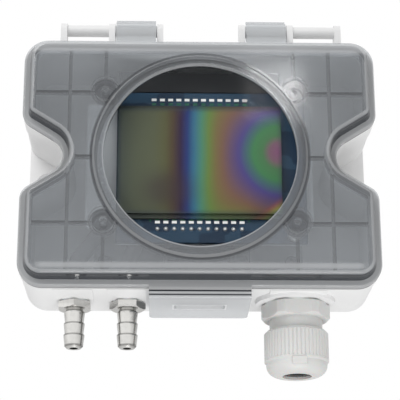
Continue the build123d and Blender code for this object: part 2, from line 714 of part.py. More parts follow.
def screw(x, z, seat, length):
    """Pan head screw square to the wall, with a cross recess in its head."""
    solid = disc(x, z, SCREW_R, seat - length, seat)
    head = disc(x, z, SCREW_HEAD_R, seat, seat + SCREW_HEAD_T)
    head = fillet(head.faces().sort_by(Axis.Y)[0].edges(), SCREW_HEAD_T / 2)
    slots = Rectangle(CROSS_L, CROSS_W) + Rectangle(CROSS_W, CROSS_L)
    cross = Pos(x, z) * Rot(0, 0, CROSS_TURN) * slots
    head -= slab(cross, seat + SCREW_HEAD_T / 2, seat + SCREW_HEAD_T)
    return solid + head


def make_board_screws():
    """The four screws of the main board."""
    return [screw(x, z, BOARD_FRONT, SCREW_L) for x, z in board_screw_places()]


def make_display_screws():
    """The two screws at the right end of the display board, into the carrier."""
    return [screw(x, z, DISPLAY_FRONT, BOARD_T + CARRIER_T) for x, z in display_screw_places()]


def make_carrier():
    """Moulded frame that holds the display board above the main board."""
    sketch = Sketch() + RectangleRounded(2 * CARRIER_HALF_W, 2 * CARRIER_HALF_H,
                                         CARRIER_CORNER_R)
    middle_x = (DISPLAY_LEFT + DISPLAY_RIGHT) / 2
    under_w = DISPLAY_RIGHT - DISPLAY_LEFT - NAME_PLATE_GAP
    under_l = 2 * DISPLAY_HALF_H - NAME_PLATE_GAP
    sketch += Pos(middle_x, DISPLAY_MID_Z) * Rectangle(under_w, under_l)
    plate_top = DISPLAY_TOP_Z + NAME_PLATE_GAP + NAME_PLATE_L
    sketch += Pos(0, plate_top / 2) * Rectangle(2 * LCD_HALF_W, plate_top)
    open_z = (CARRIER_OPEN_LOW_Z + CARRIER_OPEN_TOP_Z) / 2
    open_l = CARRIER_OPEN_TOP_Z - CARRIER_OPEN_LOW_Z
    sketch -= Pos(middle_x, open_z) * RectangleRounded(CARRIER_OPEN_W, open_l, CARRIER_OPEN_R)
    carrier = slab(sketch, CARRIER_BACK, DISPLAY_BACK)
    for x, z in carrier_post_places():
        carrier += disc(x, z, CARRIER_POST_R, BOARD_FRONT, CARRIER_BACK)
        carrier += disc(x, z, CARRIER_PEG_R, BOARD_BACK - PEG_GAP, BOARD_FRONT)
    for x, z in display_peg_places():
        carrier += disc(x, z, DISPLAY_PEG_R, DISPLAY_BACK, DISPLAY_FRONT - PEG_GAP)
    for x, z in display_screw_places():
        carrier -= disc(x, z, SCREW_R, CARRIER_BACK, DISPLAY_BACK)
    return carrier


def make_name_plate():
    """Bare dark plate above the display board, on the carrier."""
    low = DISPLAY_TOP_Z + NAME_PLATE_GAP
    plate = block(-LCD_HALF_W, LCD_HALF_W, low, low + NAME_PLATE_L, DISPLAY_BACK,
                  DISPLAY_BACK + NAME_PLATE_T)
    return chamfer(plate.faces().sort_by(Axis.Y)[0].edges(), NAME_PLATE_T / 4)


def make_display_board():
    """Display circuit board."""
    board = block(DISPLAY_LEFT, DISPLAY_RIGHT, DISPLAY_LOW_Z, DISPLAY_TOP_Z,
                  DISPLAY_BACK, DISPLAY_FRONT)
    for x, z in display_screw_places():
        board -= disc(x, z, SCREW_R + SCREW_HOLE_GAP, DISPLAY_BACK, DISPLAY_FRONT)
    for x, z in display_peg_places():
        board -= disc(x, z, DISPLAY_PEG_R + PEG_GAP, DISPLAY_BACK, DISPLAY_FRONT)
    return board


def make_lcd():
    """Display glass: a rear pane and a smaller front pane with one cut corner."""
    middle = Pos(0, LCD_MID_Z)
    back_h = 2 * (LCD_HALF_H + LCD_LEDGE)
    rear = middle * Rectangle(2 * LCD_HALF_W + DISPLAY_MARGIN, back_h)
    front = middle * Rectangle(2 * LCD_HALF_W, 2 * LCD_HALF_H)
    corner = [v for v in front.vertices() if v.X < 0 and v.Y < LCD_MID_Z]
    front = chamfer(corner, LCD_CORNER)
    split = DISPLAY_FRONT + LCD_GLASS_T
    return slab(rear, DISPLAY_FRONT, split) + slab(front, split, split + LCD_GLASS_T)


def make_display_pins():
    """Tinned pins above and below the display and the solder joints under them."""
    half_h = LCD_HALF_H + LCD_LEDGE
    top_z = LCD_MID_Z + half_h + PAD_TOP_REACH
    low_z = LCD_MID_Z - half_h - PAD_LOW_REACH
    joint_z = LCD_MID_Z - half_h - JOINT_REACH
    solids = []
    for count, z in ((PAD_TOP_COUNT, top_z), (PAD_LOW_COUNT, low_z)):
        for x in pin_row(count):
            solids.append(block(x - PAD_W / 2, x + PAD_W / 2, z - PAD_L / 2, z + PAD_L / 2,
                                DISPLAY_FRONT, DISPLAY_FRONT + PAD_T))
    for x in pin_row(PAD_LOW_COUNT):
        joint = Cone(JOINT_R, JOINT_R / 2, PAD_T, align=(Align.CENTER, Align.CENTER, Align.MIN))
        solids.append(Pos(x, -DISPLAY_FRONT, joint_z) * Rot(90, 0, 0) * joint)
    return solids


def make_header_socket():
    """Socket strip on the main board."""
    length = HEADER_COUNT * PIN_PITCH
    half = SOCKET_HOLE_W / 2
    body = block(-length / 2, length / 2, HEADER_Z - HEADER_W / 2, HEADER_Z + HEADER_W / 2,
                 BOARD_FRONT, BOARD_FRONT + SOCKET_T)
    for x in pin_row(HEADER_COUNT):
        body -= block(x - half, x + half, HEADER_Z - half, HEADER_Z + half,
                      BOARD_FRONT + SOCKET_HOLE_W, BOARD_FRONT + SOCKET_T)
    return body


def make_header_pins():
    """Pin strip under the display board that plugs into the socket."""
    length = HEADER_COUNT * PIN_PITCH
    body = block(-length / 2, length / 2, HEADER_Z - HEADER_W / 2, HEADER_Z + HEADER_W / 2,
                 DISPLAY_BACK - HEADER_W, DISPLAY_BACK)
    half = HEADER_PIN_W / 2
    for x in pin_row(HEADER_COUNT):
        body += block(x - half, x + half, HEADER_Z - half, HEADER_Z + half,
                      BOARD_FRONT + 2 * SOCKET_HOLE_W, DISPLAY_BACK - HEADER_W)
    return body


def make_sensor():
    """Pressure sensor with its two ports towards the hoses."""
    body = block(SENSOR_MID_X - SENSOR_W / 2, SENSOR_MID_X + SENSOR_W / 2, SENSOR_LOW_Z,
                 SENSOR_LOW_Z + SENSOR_L, BOARD_FRONT, BOARD_FRONT + SENSOR_T)
    body = chamfer(body.faces().sort_by(Axis.Y)[0].edges(), SENSOR_CHAMFER)
    for _, _, x in port_places():
        end_z = SENSOR_LOW_Z - SENSOR_PORT_L
        body += plan_solid(Circle(STUB_R), x, PORT_H, SENSOR_LOW_Z + 1, end_z)
        body -= plan_solid(Circle(STUB_R / 2), x, PORT_H, SENSOR_LOW_Z - 1, end_z)
    return body


def make_hose(port_x, sensor_x):
    """Soft tube from a port's inner stub to the sensor, in a gentle S."""
    start_z = CASE_INNER_BOTTOM + PORT_NUT_T + 0.6
    end_z = SENSOR_LOW_Z - 1.0
    stub_end = CASE_INNER_BOTTOM + PORT_NUT_T + STUB_L
    port_end = SENSOR_LOW_Z - SENSOR_PORT_L
    path = FilletPolyline(
        (port_x, -PORT_H, start_z),
        (port_x, -PORT_H, stub_end),
        (sensor_x, -PORT_H, port_end),
        (sensor_x, -PORT_H, end_z),
        radius=HOSE_BEND_R,
    )
    ring = Circle(HOSE_R) - Circle(STUB_R + HOSE_BORE_GAP)
    return sweep(Plane(origin=path @ 0, z_dir=path % 0) * ring, path=path)


def make_port(x, turn):
    """Turned hose barb: inner stub, thread, hexagon and three barbs."""
    points = [(PORT_BORE_R, CASE_INNER_BOTTOM + PORT_NUT_T + STUB_L)]
    points.append((STUB_R, CASE_INNER_BOTTOM + PORT_NUT_T + STUB_L))
    points.append((STUB_R, CASE_INNER_BOTTOM + PORT_NUT_T))
    points.append((PORT_THREAD_R, CASE_INNER_BOTTOM + PORT_NUT_T))
    z = PORT_HEX_Z - PORT_HEX_T
    points.append((PORT_THREAD_R, z))
    points.append((BARB_NECK_R, z))
    z -= BARB_NECK_L
    points.append((BARB_NECK_R, z))
    for _ in range(BARB_COUNT):
        points.append((BARB_TOP_R, z))
        points.append((BARB_TOP_R, z - BARB_LAND))
        z -= BARB_PITCH
        points.append((BARB_LOW_R, z))
    points.append((BARB_LOW_R - BARB_TIP_CUT, z - BARB_TIP_CUT))
    points.append((PORT_BORE_R, z - BARB_TIP_CUT))
    body = turned(points, x, PORT_H)
    nut = plan_solid(hexagon(PORT_HEX_AF, turn), x, PORT_H, PORT_HEX_Z, PORT_HEX_Z - PORT_HEX_T)
    round_r = PORT_HEX_AF / 2 * HEX_CORNER
    cut = 0.35
    rounder = turned([
        (0, PORT_HEX_Z),
        (round_r, PORT_HEX_Z),
        (round_r, PORT_HEX_Z - PORT_HEX_T + cut),
        (round_r - 2 * cut, PORT_HEX_Z - PORT_HEX_T),
        (0, PORT_HEX_Z - PORT_HEX_T),
    ], x, PORT_H)
    nut = nut & rounder
    core = Circle((PORT_BORE_R + BARB_NECK_R) / 2)
    nut -= plan_solid(core, x, PORT_H, PORT_HEX_Z, PORT_HEX_Z - PORT_HEX_T)
    return body + nut


def make_port_washers():
    """Sealing washers between the ports and their pads."""
    ring = Circle(PORT_WASHER_R) - Circle(PORT_THREAD_R + PORT_HOLE_GAP)
    return [plan_solid(ring, x, PORT_H, PORT_PAD_Z, PORT_HEX_Z) for x in PORT_XS]


def make_port_nuts():
    """Nuts that hold the ports from inside."""
    ring = hexagon(PORT_HEX_AF, FLAT_TURN) - Circle(PORT_THREAD_R)
    top = CASE_INNER_BOTTOM + PORT_NUT_T
    return [plan_solid(ring, x, PORT_H, top, CASE_INNER_BOTTOM) for x in PORT_XS]


def make_gland_washer():
    """Rubber washer under the gland's hexagon."""
    ring = Circle(GLAND_HEX_AF / 2) - Circle(GLAND_THREAD_R + GLAND_HOLE_GAP)
    return plan_solid(ring, GLAND_X, PORT_H, GLAND_PAD_Z, GLAND_HEX_Z)


def make_gland_body():
    """Gland body: inner thread, rounded hexagon, neck thread and clamping claws."""
    inner_end = CASE_INNER_BOTTOM + LOCKNUT_T + GLAND_INNER_SPARE
    hex_end = GLAND_HEX_Z - GLAND_HEX_T
    claw_r = GLAND_BORE_R + GLAND_CLAW_T
    body = turned([
        (GLAND_BORE_R, inner_end),
        (GLAND_THREAD_R, inner_end),
        (GLAND_THREAD_R, CLAW_TOP_Z),
        (claw_r + GLAND_CLAW_LEAN, CLAW_TOP_Z),
        (claw_r, CLAW_END_Z),
        (GLAND_BORE_R, CLAW_END_Z),
    ], GLAND_X, PORT_H)
    nut = plan_solid(hexagon(GLAND_HEX_AF, FLAT_TURN), GLAND_X, PORT_H, GLAND_HEX_Z, hex_end)
    drum = plan_solid(Circle(GLAND_HEX_ROUND_R), GLAND_X, PORT_H, GLAND_HEX_Z, hex_end)
    drum = chamfer(drum.faces().sort_by(Axis.Z)[0].edges(), GLAND_HEX_ROUND)
    core = Circle((GLAND_BORE_R + GLAND_THREAD_R) / 2)
    body += (nut & drum) - plan_solid(core, GLAND_X, PORT_H, GLAND_HEX_Z, hex_end)
    for index in range(GLAND_CLAW_SLOTS // 2):
        turn = Rot(0, 0, 360 / GLAND_CLAW_SLOTS * index)
        slot = turn * Rectangle(3 * GLAND_THREAD_R, GLAND_CLAW_W)
        body -= plan_solid(slot, GLAND_X, PORT_H, CLAW_TOP_Z, CLAW_END_Z)
    return body


def make_gland_locknut():
    """Lock nut on the gland's inner thread."""
    ring = hexagon(LOCKNUT_AF, FLAT_TURN) - Circle(GLAND_THREAD_R)
    return plan_solid(ring, GLAND_X, PORT_H, CASE_INNER_BOTTOM + LOCKNUT_T, CASE_INNER_BOTTOM)


def make_gland_seal():
    """Rubber bush that grips the cable inside the claws."""
    end = NUT_END_Z + BUSH_SETBACK
    outer = GLAND_BORE_R - BUSH_GAP
    return turned([
        (CABLE_R, NUT_TOP_Z),
        (outer, NUT_TOP_Z),
        (outer, CLAW_END_Z),
        (DOME_NUT_MOUTH_R - DOME_NUT_GAP, end),
        (CABLE_R, end),
    ], GLAND_X, PORT_H)


def make_dome_nut():
    """Ribbed dome nut that tightens the gland."""
    bore = GLAND_THREAD_R + DOME_NUT_GAP
    band_end = NUT_TOP_Z - DOME_NUT_BAND
    low_r = DOME_NUT_R - DOME_NUT_STEP
    outer = Polyline(
        (DOME_NUT_MOUTH_R, NUT_END_Z),
        (DOME_NUT_MOUTH_R, NUT_END_Z + DOME_NUT_MOUTH_L),
        (bore - DOME_NUT_CONE_R, band_end + DOME_NUT_STEP),
        (bore, band_end + DOME_NUT_STEP + DOME_NUT_CONE_R),
        (bore, NUT_TOP_Z),
        (DOME_NUT_R - DOME_NUT_SHOULDER, NUT_TOP_Z),
        (DOME_NUT_R, NUT_TOP_Z - DOME_NUT_SHOULDER),
        (DOME_NUT_R, band_end),
        (low_r, band_end - DOME_NUT_STEP),
        (low_r, NUT_END_Z),
        close=True,
    )
    profile = make_face(Plane.XZ * outer)
    corner = [v for v in profile.vertices()
              if abs(v.X - low_r) < 0.001 and abs(v.Z - NUT_END_Z) < 0.001]
    room = min(low_r - DOME_NUT_MOUTH_R, band_end - DOME_NUT_STEP - NUT_END_Z)
    profile = fillet(corner, min(DOME_NUT_ROUND, room * 0.95))
    nut = Pos(GLAND_X, -PORT_H, 0) * revolve(profile, Axis.Z)
    side = DOME_NUT_GROOVE_D * sqrt(2)
    ridge = Pos(DOME_NUT_R, 0) * Rot(0, 0, 45) * Rectangle(side, side)
    grooves = Sketch()
    for index in range(DOME_NUT_GROOVES):
        grooves += Rot(0, 0, 360 / DOME_NUT_GROOVES * (index + 0.5)) * ridge
    nut -= plan_solid(grooves, GLAND_X, PORT_H, NUT_TOP_Z, band_end + DOME_NUT_STEP)
    mark_z = band_end - DOME_NUT_MARK_DROP
    front = PORT_H + DOME_NUT_R + DOME_NUT_MARK_OUT
    half_w = DOME_NUT_MARK_W / 2
    half_l = DOME_NUT_MARK_L / 2
    return nut + block(GLAND_X - half_w, GLAND_X + half_w, mark_z - half_l, mark_z + half_l,
                       front - DOME_NUT_MARK_W / 2, front)


def terminal_places():
    """Middle of each pole of the terminal block along X."""
    steps = [index - (TERMINAL_COUNT - 1) / 2 for index in range(TERMINAL_COUNT)]
    return [TERMINAL_X + step * TERMINAL_PITCH for step in steps]


def make_terminal_block():
    """Screw terminal block with wire entries below, screw wells and seams in front."""
    top = BOARD_FRONT + TERMINAL_T
    body = block(TERMINAL_X - TERMINAL_W / 2, TERMINAL_RIGHT, TERMINAL_LOW_Z,
                 TERMINAL_LOW_Z + TERMINAL_D, BOARD_FRONT, top)
    body = chamfer(body.edges().filter_by(Axis.X).sort_by(Axis.Y)[:2], TERMINAL_SEAM * 2)
    well_z = TERMINAL_LOW_Z + TERMINAL_D / 2
    entry = BOARD_FRONT + TERMINAL_FLOOR
    for x in terminal_places():
        body -= disc(x, well_z, TERMINAL_WELL_R, top - TERMINAL_WELL_D, top)
        body -= block(x - TERMINAL_ENTRY_W / 2, x + TERMINAL_ENTRY_W / 2, TERMINAL_LOW_Z,
                      TERMINAL_LOW_Z + TERMINAL_ENTRY_L, entry, entry + TERMINAL_ENTRY_T)
    for x in terminal_places()[1:]:
        seam_x = x - TERMINAL_PITCH / 2
        body -= block(seam_x - TERMINAL_SEAM / 2, seam_x + TERMINAL_SEAM / 2, TERMINAL_LOW_Z,
                      TERMINAL_LOW_Z + TERMINAL_D, top - TERMINAL_SEAM, top)
    return body


def make_terminal_screws():
    """Slotted clamp screws in the terminal block's wells."""
    solids = []
    well_z = TERMINAL_LOW_Z + TERMINAL_D / 2
    seat = BOARD_FRONT + TERMINAL_T - TERMINAL_WELL_D
    radius = TERMINAL_WELL_R - TERMINAL_SCREW_GAP
    top = seat + TERMINAL_SCREW_T
    for index, x in enumerate(terminal_places()):
        slot = Pos(x, well_z) * Rot(0, 0, 20 * index) * Rectangle(2 * radius, SCREW_SLOT_W)
        solids.append(disc(x, well_z, radius, seat, top) - slab(slot, top - SCREW_SLOT_D, top))
    return solids


def dip_places():
    """Middle of each slider of the switch bank along X."""
    return [DIP_X + x for x in pin_row(DIP_COUNT)]


def make_dip_switch():
    """Body of the switch bank with one slot for each slider."""
    half = (DIP_COUNT * PIN_PITCH + 0.2) / 2
    body = block(DIP_X - half, DIP_X + half, DIP_Z - DIP_D / 2, DIP_Z + DIP_D / 2,
                 BOARD_FRONT, BOARD_FRONT + DIP_T)
    for x in dip_places():
        body -= block(x - DIP_SLOT_W / 2, x + DIP_SLOT_W / 2, DIP_Z - DIP_SLOT_L / 2,
                      DIP_Z + DIP_SLOT_L / 2, BOARD_FRONT + DIP_T - DIP_SLOT_DEPTH,
                      BOARD_FRONT + DIP_T)
    return body


def make_dip_slider(x):
    """One slider, at the low end of its slot."""
    half_w = DIP_SLOT_W / 2 - DIP_KNOB_GAP
    low = DIP_Z - DIP_SLOT_L / 2 + DIP_KNOB_GAP
    floor = BOARD_FRONT + DIP_T - DIP_SLOT_DEPTH + 0.1
    return block(x - half_w, x + half_w, low, low + DIP_KNOB_L, floor,
                 BOARD_FRONT + DIP_T + DIP_KNOB_PROUD)


def make_zero_switch():
    """Body of the zero button's switch."""
    half = ZERO_BODY_W / 2
    body = block(ZERO_X - half, ZERO_X + half, ZERO_Z - half, ZERO_Z + half,
                 BOARD_FRONT, BOARD_FRONT + ZERO_BODY_T)
    depth = ZERO_SUNK + ZERO_TRAVEL + 0.2
    return body - disc(ZERO_X, ZERO_Z, ZERO_R + ZERO_GAP, BOARD_FRONT + ZERO_BODY_T - depth,
                       BOARD_FRONT + ZERO_BODY_T)


def make_zero_button():
    """Plunger that zeroes the reading when pressed."""
    top = BOARD_FRONT + ZERO_BODY_T
    button = disc(ZERO_X, ZERO_Z, ZERO_R, top - ZERO_SUNK, top + ZERO_PROUD)
    return chamfer(button.faces().sort_by(Axis.Y)[0].edges(), 0.3)


def make_board_chips():
    """Processor, converter and regulators on the main board."""
    regulator_x = BOARD_HALF_W - REGULATOR_INSET
    sizes = (
        (CHIP_X, CHIP_DROP, CHIP_W, CHIP_W),
        (CONVERTER_X, CONVERTER_DROP, CONVERTER_W, CONVERTER_L),
        (regulator_x, REGULATOR_DROP, REGULATOR_W, REGULATOR_L),
        (-regulator_x, REGULATOR_DROP, REGULATOR_W, REGULATOR_L),
    )
    solids = []
    for x, drop, wide, long in sizes:
        z = BOARD_TOP_Z - drop
        solids.append(block(x - wide / 2, x + wide / 2, z - long / 2, z + long / 2,
                            BOARD_FRONT, BOARD_FRONT + CHIP_T))
    return solids


def make_capacitors():
    """Round capacitors on the main board."""
    solids = []
    for side in (-1, 1):
        can = disc(side * (BOARD_HALF_W - CAPACITOR_INSET), BOARD_TOP_Z - CAPACITOR_DROP,
                   CAPACITOR_R, BOARD_FRONT, BOARD_FRONT + CAPACITOR_T)
        solids.append(fillet(can.faces().sort_by(Axis.Y)[0].edges(), CAPACITOR_EDGE))
    return solids


def save(name, shape):
    """Write one node as a STEP file."""
    if isinstance(shape, list):
        shape = Compound(children=shape)
    export_step(shape, f"parts/{name}.step")


save("rear_housing", make_rear_housing())
save("lid_seal", make_seal())
save("lid", make_lid())
save("window_lens", make_lens())
save("main_board", make_main_board())
save("board_screws", make_board_screws())
save("display_carrier", make_carrier())
save("display_board", make_display_board())
save("display_screws", make_display_screws())
save("display_glass", make_lcd())
save("display_pins", make_display_pins())
save("name_plate", make_name_plate())
save("header_socket", make_header_socket())
save("header_pins", make_header_pins())
save("pressure_sensor", make_sensor())
for label, (port_x, port_turn, sensor_x) in zip(("high", "low"), port_places()):
    save(f"{label}_port", make_port(port_x, port_turn))
    save(f"{label}_hose", make_hose(port_x, sensor_x))
save("port_washers", make_port_washers())
save("port_nuts", make_port_nuts())
save("gland_washer", make_gland_washer())
save("gland_body", make_gland_body())
save("gland_locknut", make_gland_locknut())
save("gland_seal", make_gland_seal())
save("gland_dome_nut", make_dome_nut())
save("terminal_block", make_terminal_block())
save("terminal_screws", make_terminal_screws())
save("switch_bank", make_dip_switch())
for number, slider_x in enumerate(dip_places(), start=1):
    save(f"switch_slider_{number}", make_dip_slider(slider_x))
save("zero_switch", make_zero_switch())
save("zero_button", make_zero_button())
save("board_chips", make_board_chips())
save("board_capacitors", make_capacitors())
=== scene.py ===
"""Dresses, lights and frames a wall-mounted differential pressure transmitter.

The wall is the plane y = 0, the front looks along -Y and +Z is up. Lengths are metres, and in
the finishes millimetres. All shapes are CAD nodes: this script gives each its finish and sets
up the studio.
"""
import logging
from dataclasses import dataclass
from enum import Enum
from functools import cache
from math import cos, pi, radians, sin, tau
from typing import ClassVar, Sequence, Union

import bpy
import numpy as np
from mathutils import Matrix, Vector


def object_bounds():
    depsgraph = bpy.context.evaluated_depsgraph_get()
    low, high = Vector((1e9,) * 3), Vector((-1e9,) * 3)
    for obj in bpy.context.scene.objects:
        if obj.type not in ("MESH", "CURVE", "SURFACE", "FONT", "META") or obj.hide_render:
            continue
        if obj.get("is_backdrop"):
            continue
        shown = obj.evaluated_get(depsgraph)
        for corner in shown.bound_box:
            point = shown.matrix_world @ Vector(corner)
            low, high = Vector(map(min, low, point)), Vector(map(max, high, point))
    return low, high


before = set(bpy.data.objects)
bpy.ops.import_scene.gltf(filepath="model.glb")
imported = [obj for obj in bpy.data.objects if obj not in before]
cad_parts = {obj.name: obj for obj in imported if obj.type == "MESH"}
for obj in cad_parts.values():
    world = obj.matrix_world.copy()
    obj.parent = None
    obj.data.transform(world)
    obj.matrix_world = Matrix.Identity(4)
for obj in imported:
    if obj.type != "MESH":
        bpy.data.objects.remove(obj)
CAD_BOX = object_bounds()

LOG = logging.getLogger("transmitter")
MM_PER_METRE = 1000.0
Colour = tuple[float, float, float]
Number = Union[float, "Sock"]
Stops = Sequence[tuple[float, Colour]]


class Sock:
    """A value socket of a node tree that takes part in Python expressions."""

    def __init__(self, build: "Tree", socket: bpy.types.NodeSocket) -> None:
        """Wrap an output socket, and keep the builder of its tree."""
        self.build = build
        self.socket = socket

    def _math(self, operation: str, *values: Number) -> "Sock":
        """Return a Math node's result, from its operation and its inputs in order."""
        inputs = dict(enumerate(values))
        return self.build.node("ShaderNodeMath", {"operation": operation}, inputs)

    def __add__(self, other: Number) -> "Sock":
        """Sum."""
        return self._math("ADD", self, other)

    def __radd__(self, other: Number) -> "Sock":
        """Sum with a number on the left."""
        return self._math("ADD", other, self)

    def __sub__(self, other: Number) -> "Sock":
        """Difference."""
        return self._math("SUBTRACT", self, other)

    def __rsub__(self, other: Number) -> "Sock":
        """Difference with a number on the left."""
        return self._math("SUBTRACT", other, self)

    def __mul__(self, other: Number) -> "Sock":
        """Product."""
        return self._math("MULTIPLY", self, other)

    def __rmul__(self, other: Number) -> "Sock":
        """Product with a number on the left."""
        return self._math("MULTIPLY", other, self)

    def __truediv__(self, other: Number) -> "Sock":
        """Quotient."""
        return self._math("DIVIDE", self, other)

    def __rtruediv__(self, other: Number) -> "Sock":
        """Quotient with a number on the left."""
        return self._math("DIVIDE", other, self)

    def __pow__(self, other: Number) -> "Sock":
        """Power."""
        return self._math("POWER", self, other)

    def __rpow__(self, other: Number) -> "Sock":
        """Power with a number on the left."""
        return self._math("POWER", other, self)

    def __gt__(self, other: Number) -> "Sock":
        """One where this is greater, otherwise zero."""
        return self._math("GREATER_THAN", self, other)

    def __lt__(self, other: Number) -> "Sock":
        """One where this is less, otherwise zero, also for a number > this."""
        return self._math("LESS_THAN", self, other)

    def __abs__(self) -> "Sock":
        """Absolute value."""
        return self._math("ABSOLUTE", self)

    def root(self) -> "Sock":
        """Square root."""
        return self._math("SQRT", self)

    def sine(self) -> "Sock":
        """Sine of an angle in radians."""
        return self._math("SINE", self)

    def most(self, other: Number) -> "Sock":
        """The greater of this and another value."""
        return self._math("MAXIMUM", self, other)

    def step(self, low: float, high: float) -> "Sock":
        """Soft step from zero at low to one at high."""
        settings = {"interpolation_type": "SMOOTHSTEP"}
        return self.build.node("ShaderNodeMapRange", settings, {0: self, 1: low, 2: high})

    def near(self, level: float, full: float, none: float) -> "Sock":
        """Soft band round a level: one up to a distance of full, zero from none on."""
        return 1 - abs(self - level).step(full, none)


class Tree:
    """Builds a node tree."""

    def __init__(self, tree: bpy.types.NodeTree) -> None:
        """Start with the emptied tree of a material or of the world."""
        self.tree = tree
        tree.nodes.clear()

    def node(self, kind: str, settings: dict | None = None, values: dict | None = None,
             out: int | str = 0) -> Sock | None:
        """Add any node.

        Args:
            kind: The node's type.
            settings: Its properties, set first. A ramp's stops are given as "stops".
            values: Its inputs by name or number, as numbers, colours or sockets.
            out: The output to return.

        Returns:
            That output, or None from a node that has no outputs.
        """
        node = self.tree.nodes.new(kind)
        for key, value in (settings or {}).items():
            if key == "stops":
                self._stops(node.color_ramp, value)
            else:
                setattr(node, key, value)
        for key, value in (values or {}).items():
            if isinstance(value, Sock):
                self.tree.links.new(value.socket, node.inputs[key])
            elif isinstance(value, tuple) and node.inputs[key].type == "RGBA":
                node.inputs[key].default_value = (*value, 1.0)
            else:
                node.inputs[key].default_value = value
        return Sock(self, node.outputs[out]) if len(node.outputs) else None

    @staticmethod
    def _stops(ramp: bpy.types.ColorRamp, stops: Stops) -> None:
        """Fill a colour ramp.

        Args:
            ramp: The ramp.
            stops: Its positions and colours.
        """
        while len(ramp.elements) < len(stops):
            ramp.elements.new(0.5)
        for element, (place, colour) in zip(ramp.elements, stops):
            element.position = place
            element.color = (*colour, 1.0)


class Shader(Tree):
    """Builds one material's node tree."""

    def __init__(self, name: str) -> None:
        """Start an empty material.

        Args:
            name: The material's name.
        """
        self.material = bpy.data.materials.new(name)
        self.material.use_nodes = True
        super().__init__(self.material.node_tree)

    def object_place(self) -> Sock:
        """Return the object's own coordinates, in metres."""
        return self.node("ShaderNodeTexCoord", out="Object")

    def place(self) -> tuple[Sock, Sock, Sock]:
        """Return the x, y and z of the object's own coordinates, in millimetres."""
        where = self.object_place()
        axes = [self.node("ShaderNodeSeparateXYZ", {}, {0: where}, out) for out in range(3)]
        return tuple(axis * MM_PER_METRE for axis in axes)

    def slope(self, axis: int) -> Sock:
        """Return the surface normal's part along an axis, in the object's own axes."""
        normal = self.node("ShaderNodeTexCoord", out="Normal")
        return self.node("ShaderNodeSeparateXYZ", {}, {0: normal}, axis)

    def facing(self, blend: float) -> Sock:
        """Return how far the surface is seen at a glancing angle, from 0 to 1."""
        return self.node("ShaderNodeLayerWeight", {}, {"Blend": blend}, "Facing")

    def noise(self, per_mm: float, detail: float = 2.0, rough: float = 0.5) -> Sock:
        """Noise in object coordinates.

        Args:
            per_mm: Blotches per millimetre.
            detail: Octaves.
            rough: How strong the finer octaves are.

        Returns:
            A value from about 0.2 to 0.8.
        """
        values = {"Vector": self.object_place(), "Scale": per_mm * MM_PER_METRE,
                  "Detail": detail, "Roughness": rough}
        return self.node("ShaderNodeTexNoise", {}, values)

    def ramp(self, stops: Stops, factor: Sock) -> Sock:
        """Return the colour of a ramp at a factor."""
        return self.node("ShaderNodeValToRGB", {"stops": stops}, {0: factor})

    def mix(self, factor: Number, first: Union[Colour, Sock],
            second: Union[Colour, Sock]) -> Sock:
        """Mix two colours by the share of the second, cut to the range from 0 to 1."""
        settings = {"data_type": "RGBA", "clamp_factor": True}
        return self.node("ShaderNodeMix", settings, {0: factor, 6: first, 7: second}, 2)

    def bump(self, height: Sock, depth_mm: float, strength: float = 1.0) -> Sock:
        """Return the normal bent by a height, which is depth_mm deep where it is one."""
        values = {"Strength": strength, "Distance": depth_mm / MM_PER_METRE, "Height": height}
        return self.node("ShaderNodeBump", {}, values)

    def principled(self, **values: Union[Number, Colour]) -> Sock:
        """Return a Principled shader, its inputs named with underscores for spaces."""
        named = {key.replace("_", " "): value for key, value in values.items()}
        return self.node("ShaderNodeBsdfPrincipled", {}, named)

    def see_through(self, clear: Colour, share: Number, surface: Sock) -> Sock:
        """Lay a share of a surface shader over a tinted straight view through the piece."""
        through = self.node("ShaderNodeBsdfTransparent", {}, {"Color": clear})
        return self.node("ShaderNodeMixShader", {}, {0: share, 1: through, 2: surface})

    def finish(self, surface: Sock) -> bpy.types.Material:
        """Join the surface shader to the output and return the finished material."""
        self.node("ShaderNodeOutputMaterial", {}, {"Surface": surface})
        return self.material


def scaled(colour: Colour, factor: float, lift: float = 0.0) -> Colour:
    """Return a colour times a factor, plus a lift in every channel."""
    return tuple(channel * factor + lift for channel in colour)


@dataclass(frozen=True)
class Paper:
    """Pale paper of the studio's floor."""

    name: str
    colour: Colour
    paler: Colour

    def material(self) -> bpy.types.Material:
        """Return the material: two pale tones mixed by broad noise."""
        build = Shader(self.name)
        colour = build.mix(build.noise(0.002, 3.0), self.colour, self.paler)
        return build.finish(build.principled(Base_Color=colour, Roughness=0.9))


@dataclass(frozen=True)
class MouldedPlastic:
    """Injection-moulded plastic with a fine matt texture."""

    name: str
    colour: Colour
    roughness: float = 0.48
    grain_per_mm: float = 2.2
    grain_mm: float = 0.012
    mottle_per_mm: float = 0.05
    mottle: float = 0.04
    subsurface: float = 0.0
    subsurface_scale: float = 0.002

    def material(self) -> bpy.types.Material:
        """Return the material: base colour mottled by broad noise, grain as bump."""
        build = Shader(self.name)
        broad = build.noise(self.mottle_per_mm, 3.0)
        grain = build.noise(self.grain_per_mm, 2.0, 0.6)
        darker = scaled(self.colour, 1 - self.mottle)
        surface = build.principled(
            Base_Color=build.mix(broad.step(0.3, 0.7), darker, self.colour),
            Roughness=self.roughness + (grain - 0.5) * 0.12,
            Subsurface_Weight=self.subsurface,
            Subsurface_Scale=self.subsurface_scale,
            Normal=build.bump(grain, self.grain_mm),
        )
        return build.finish(surface)


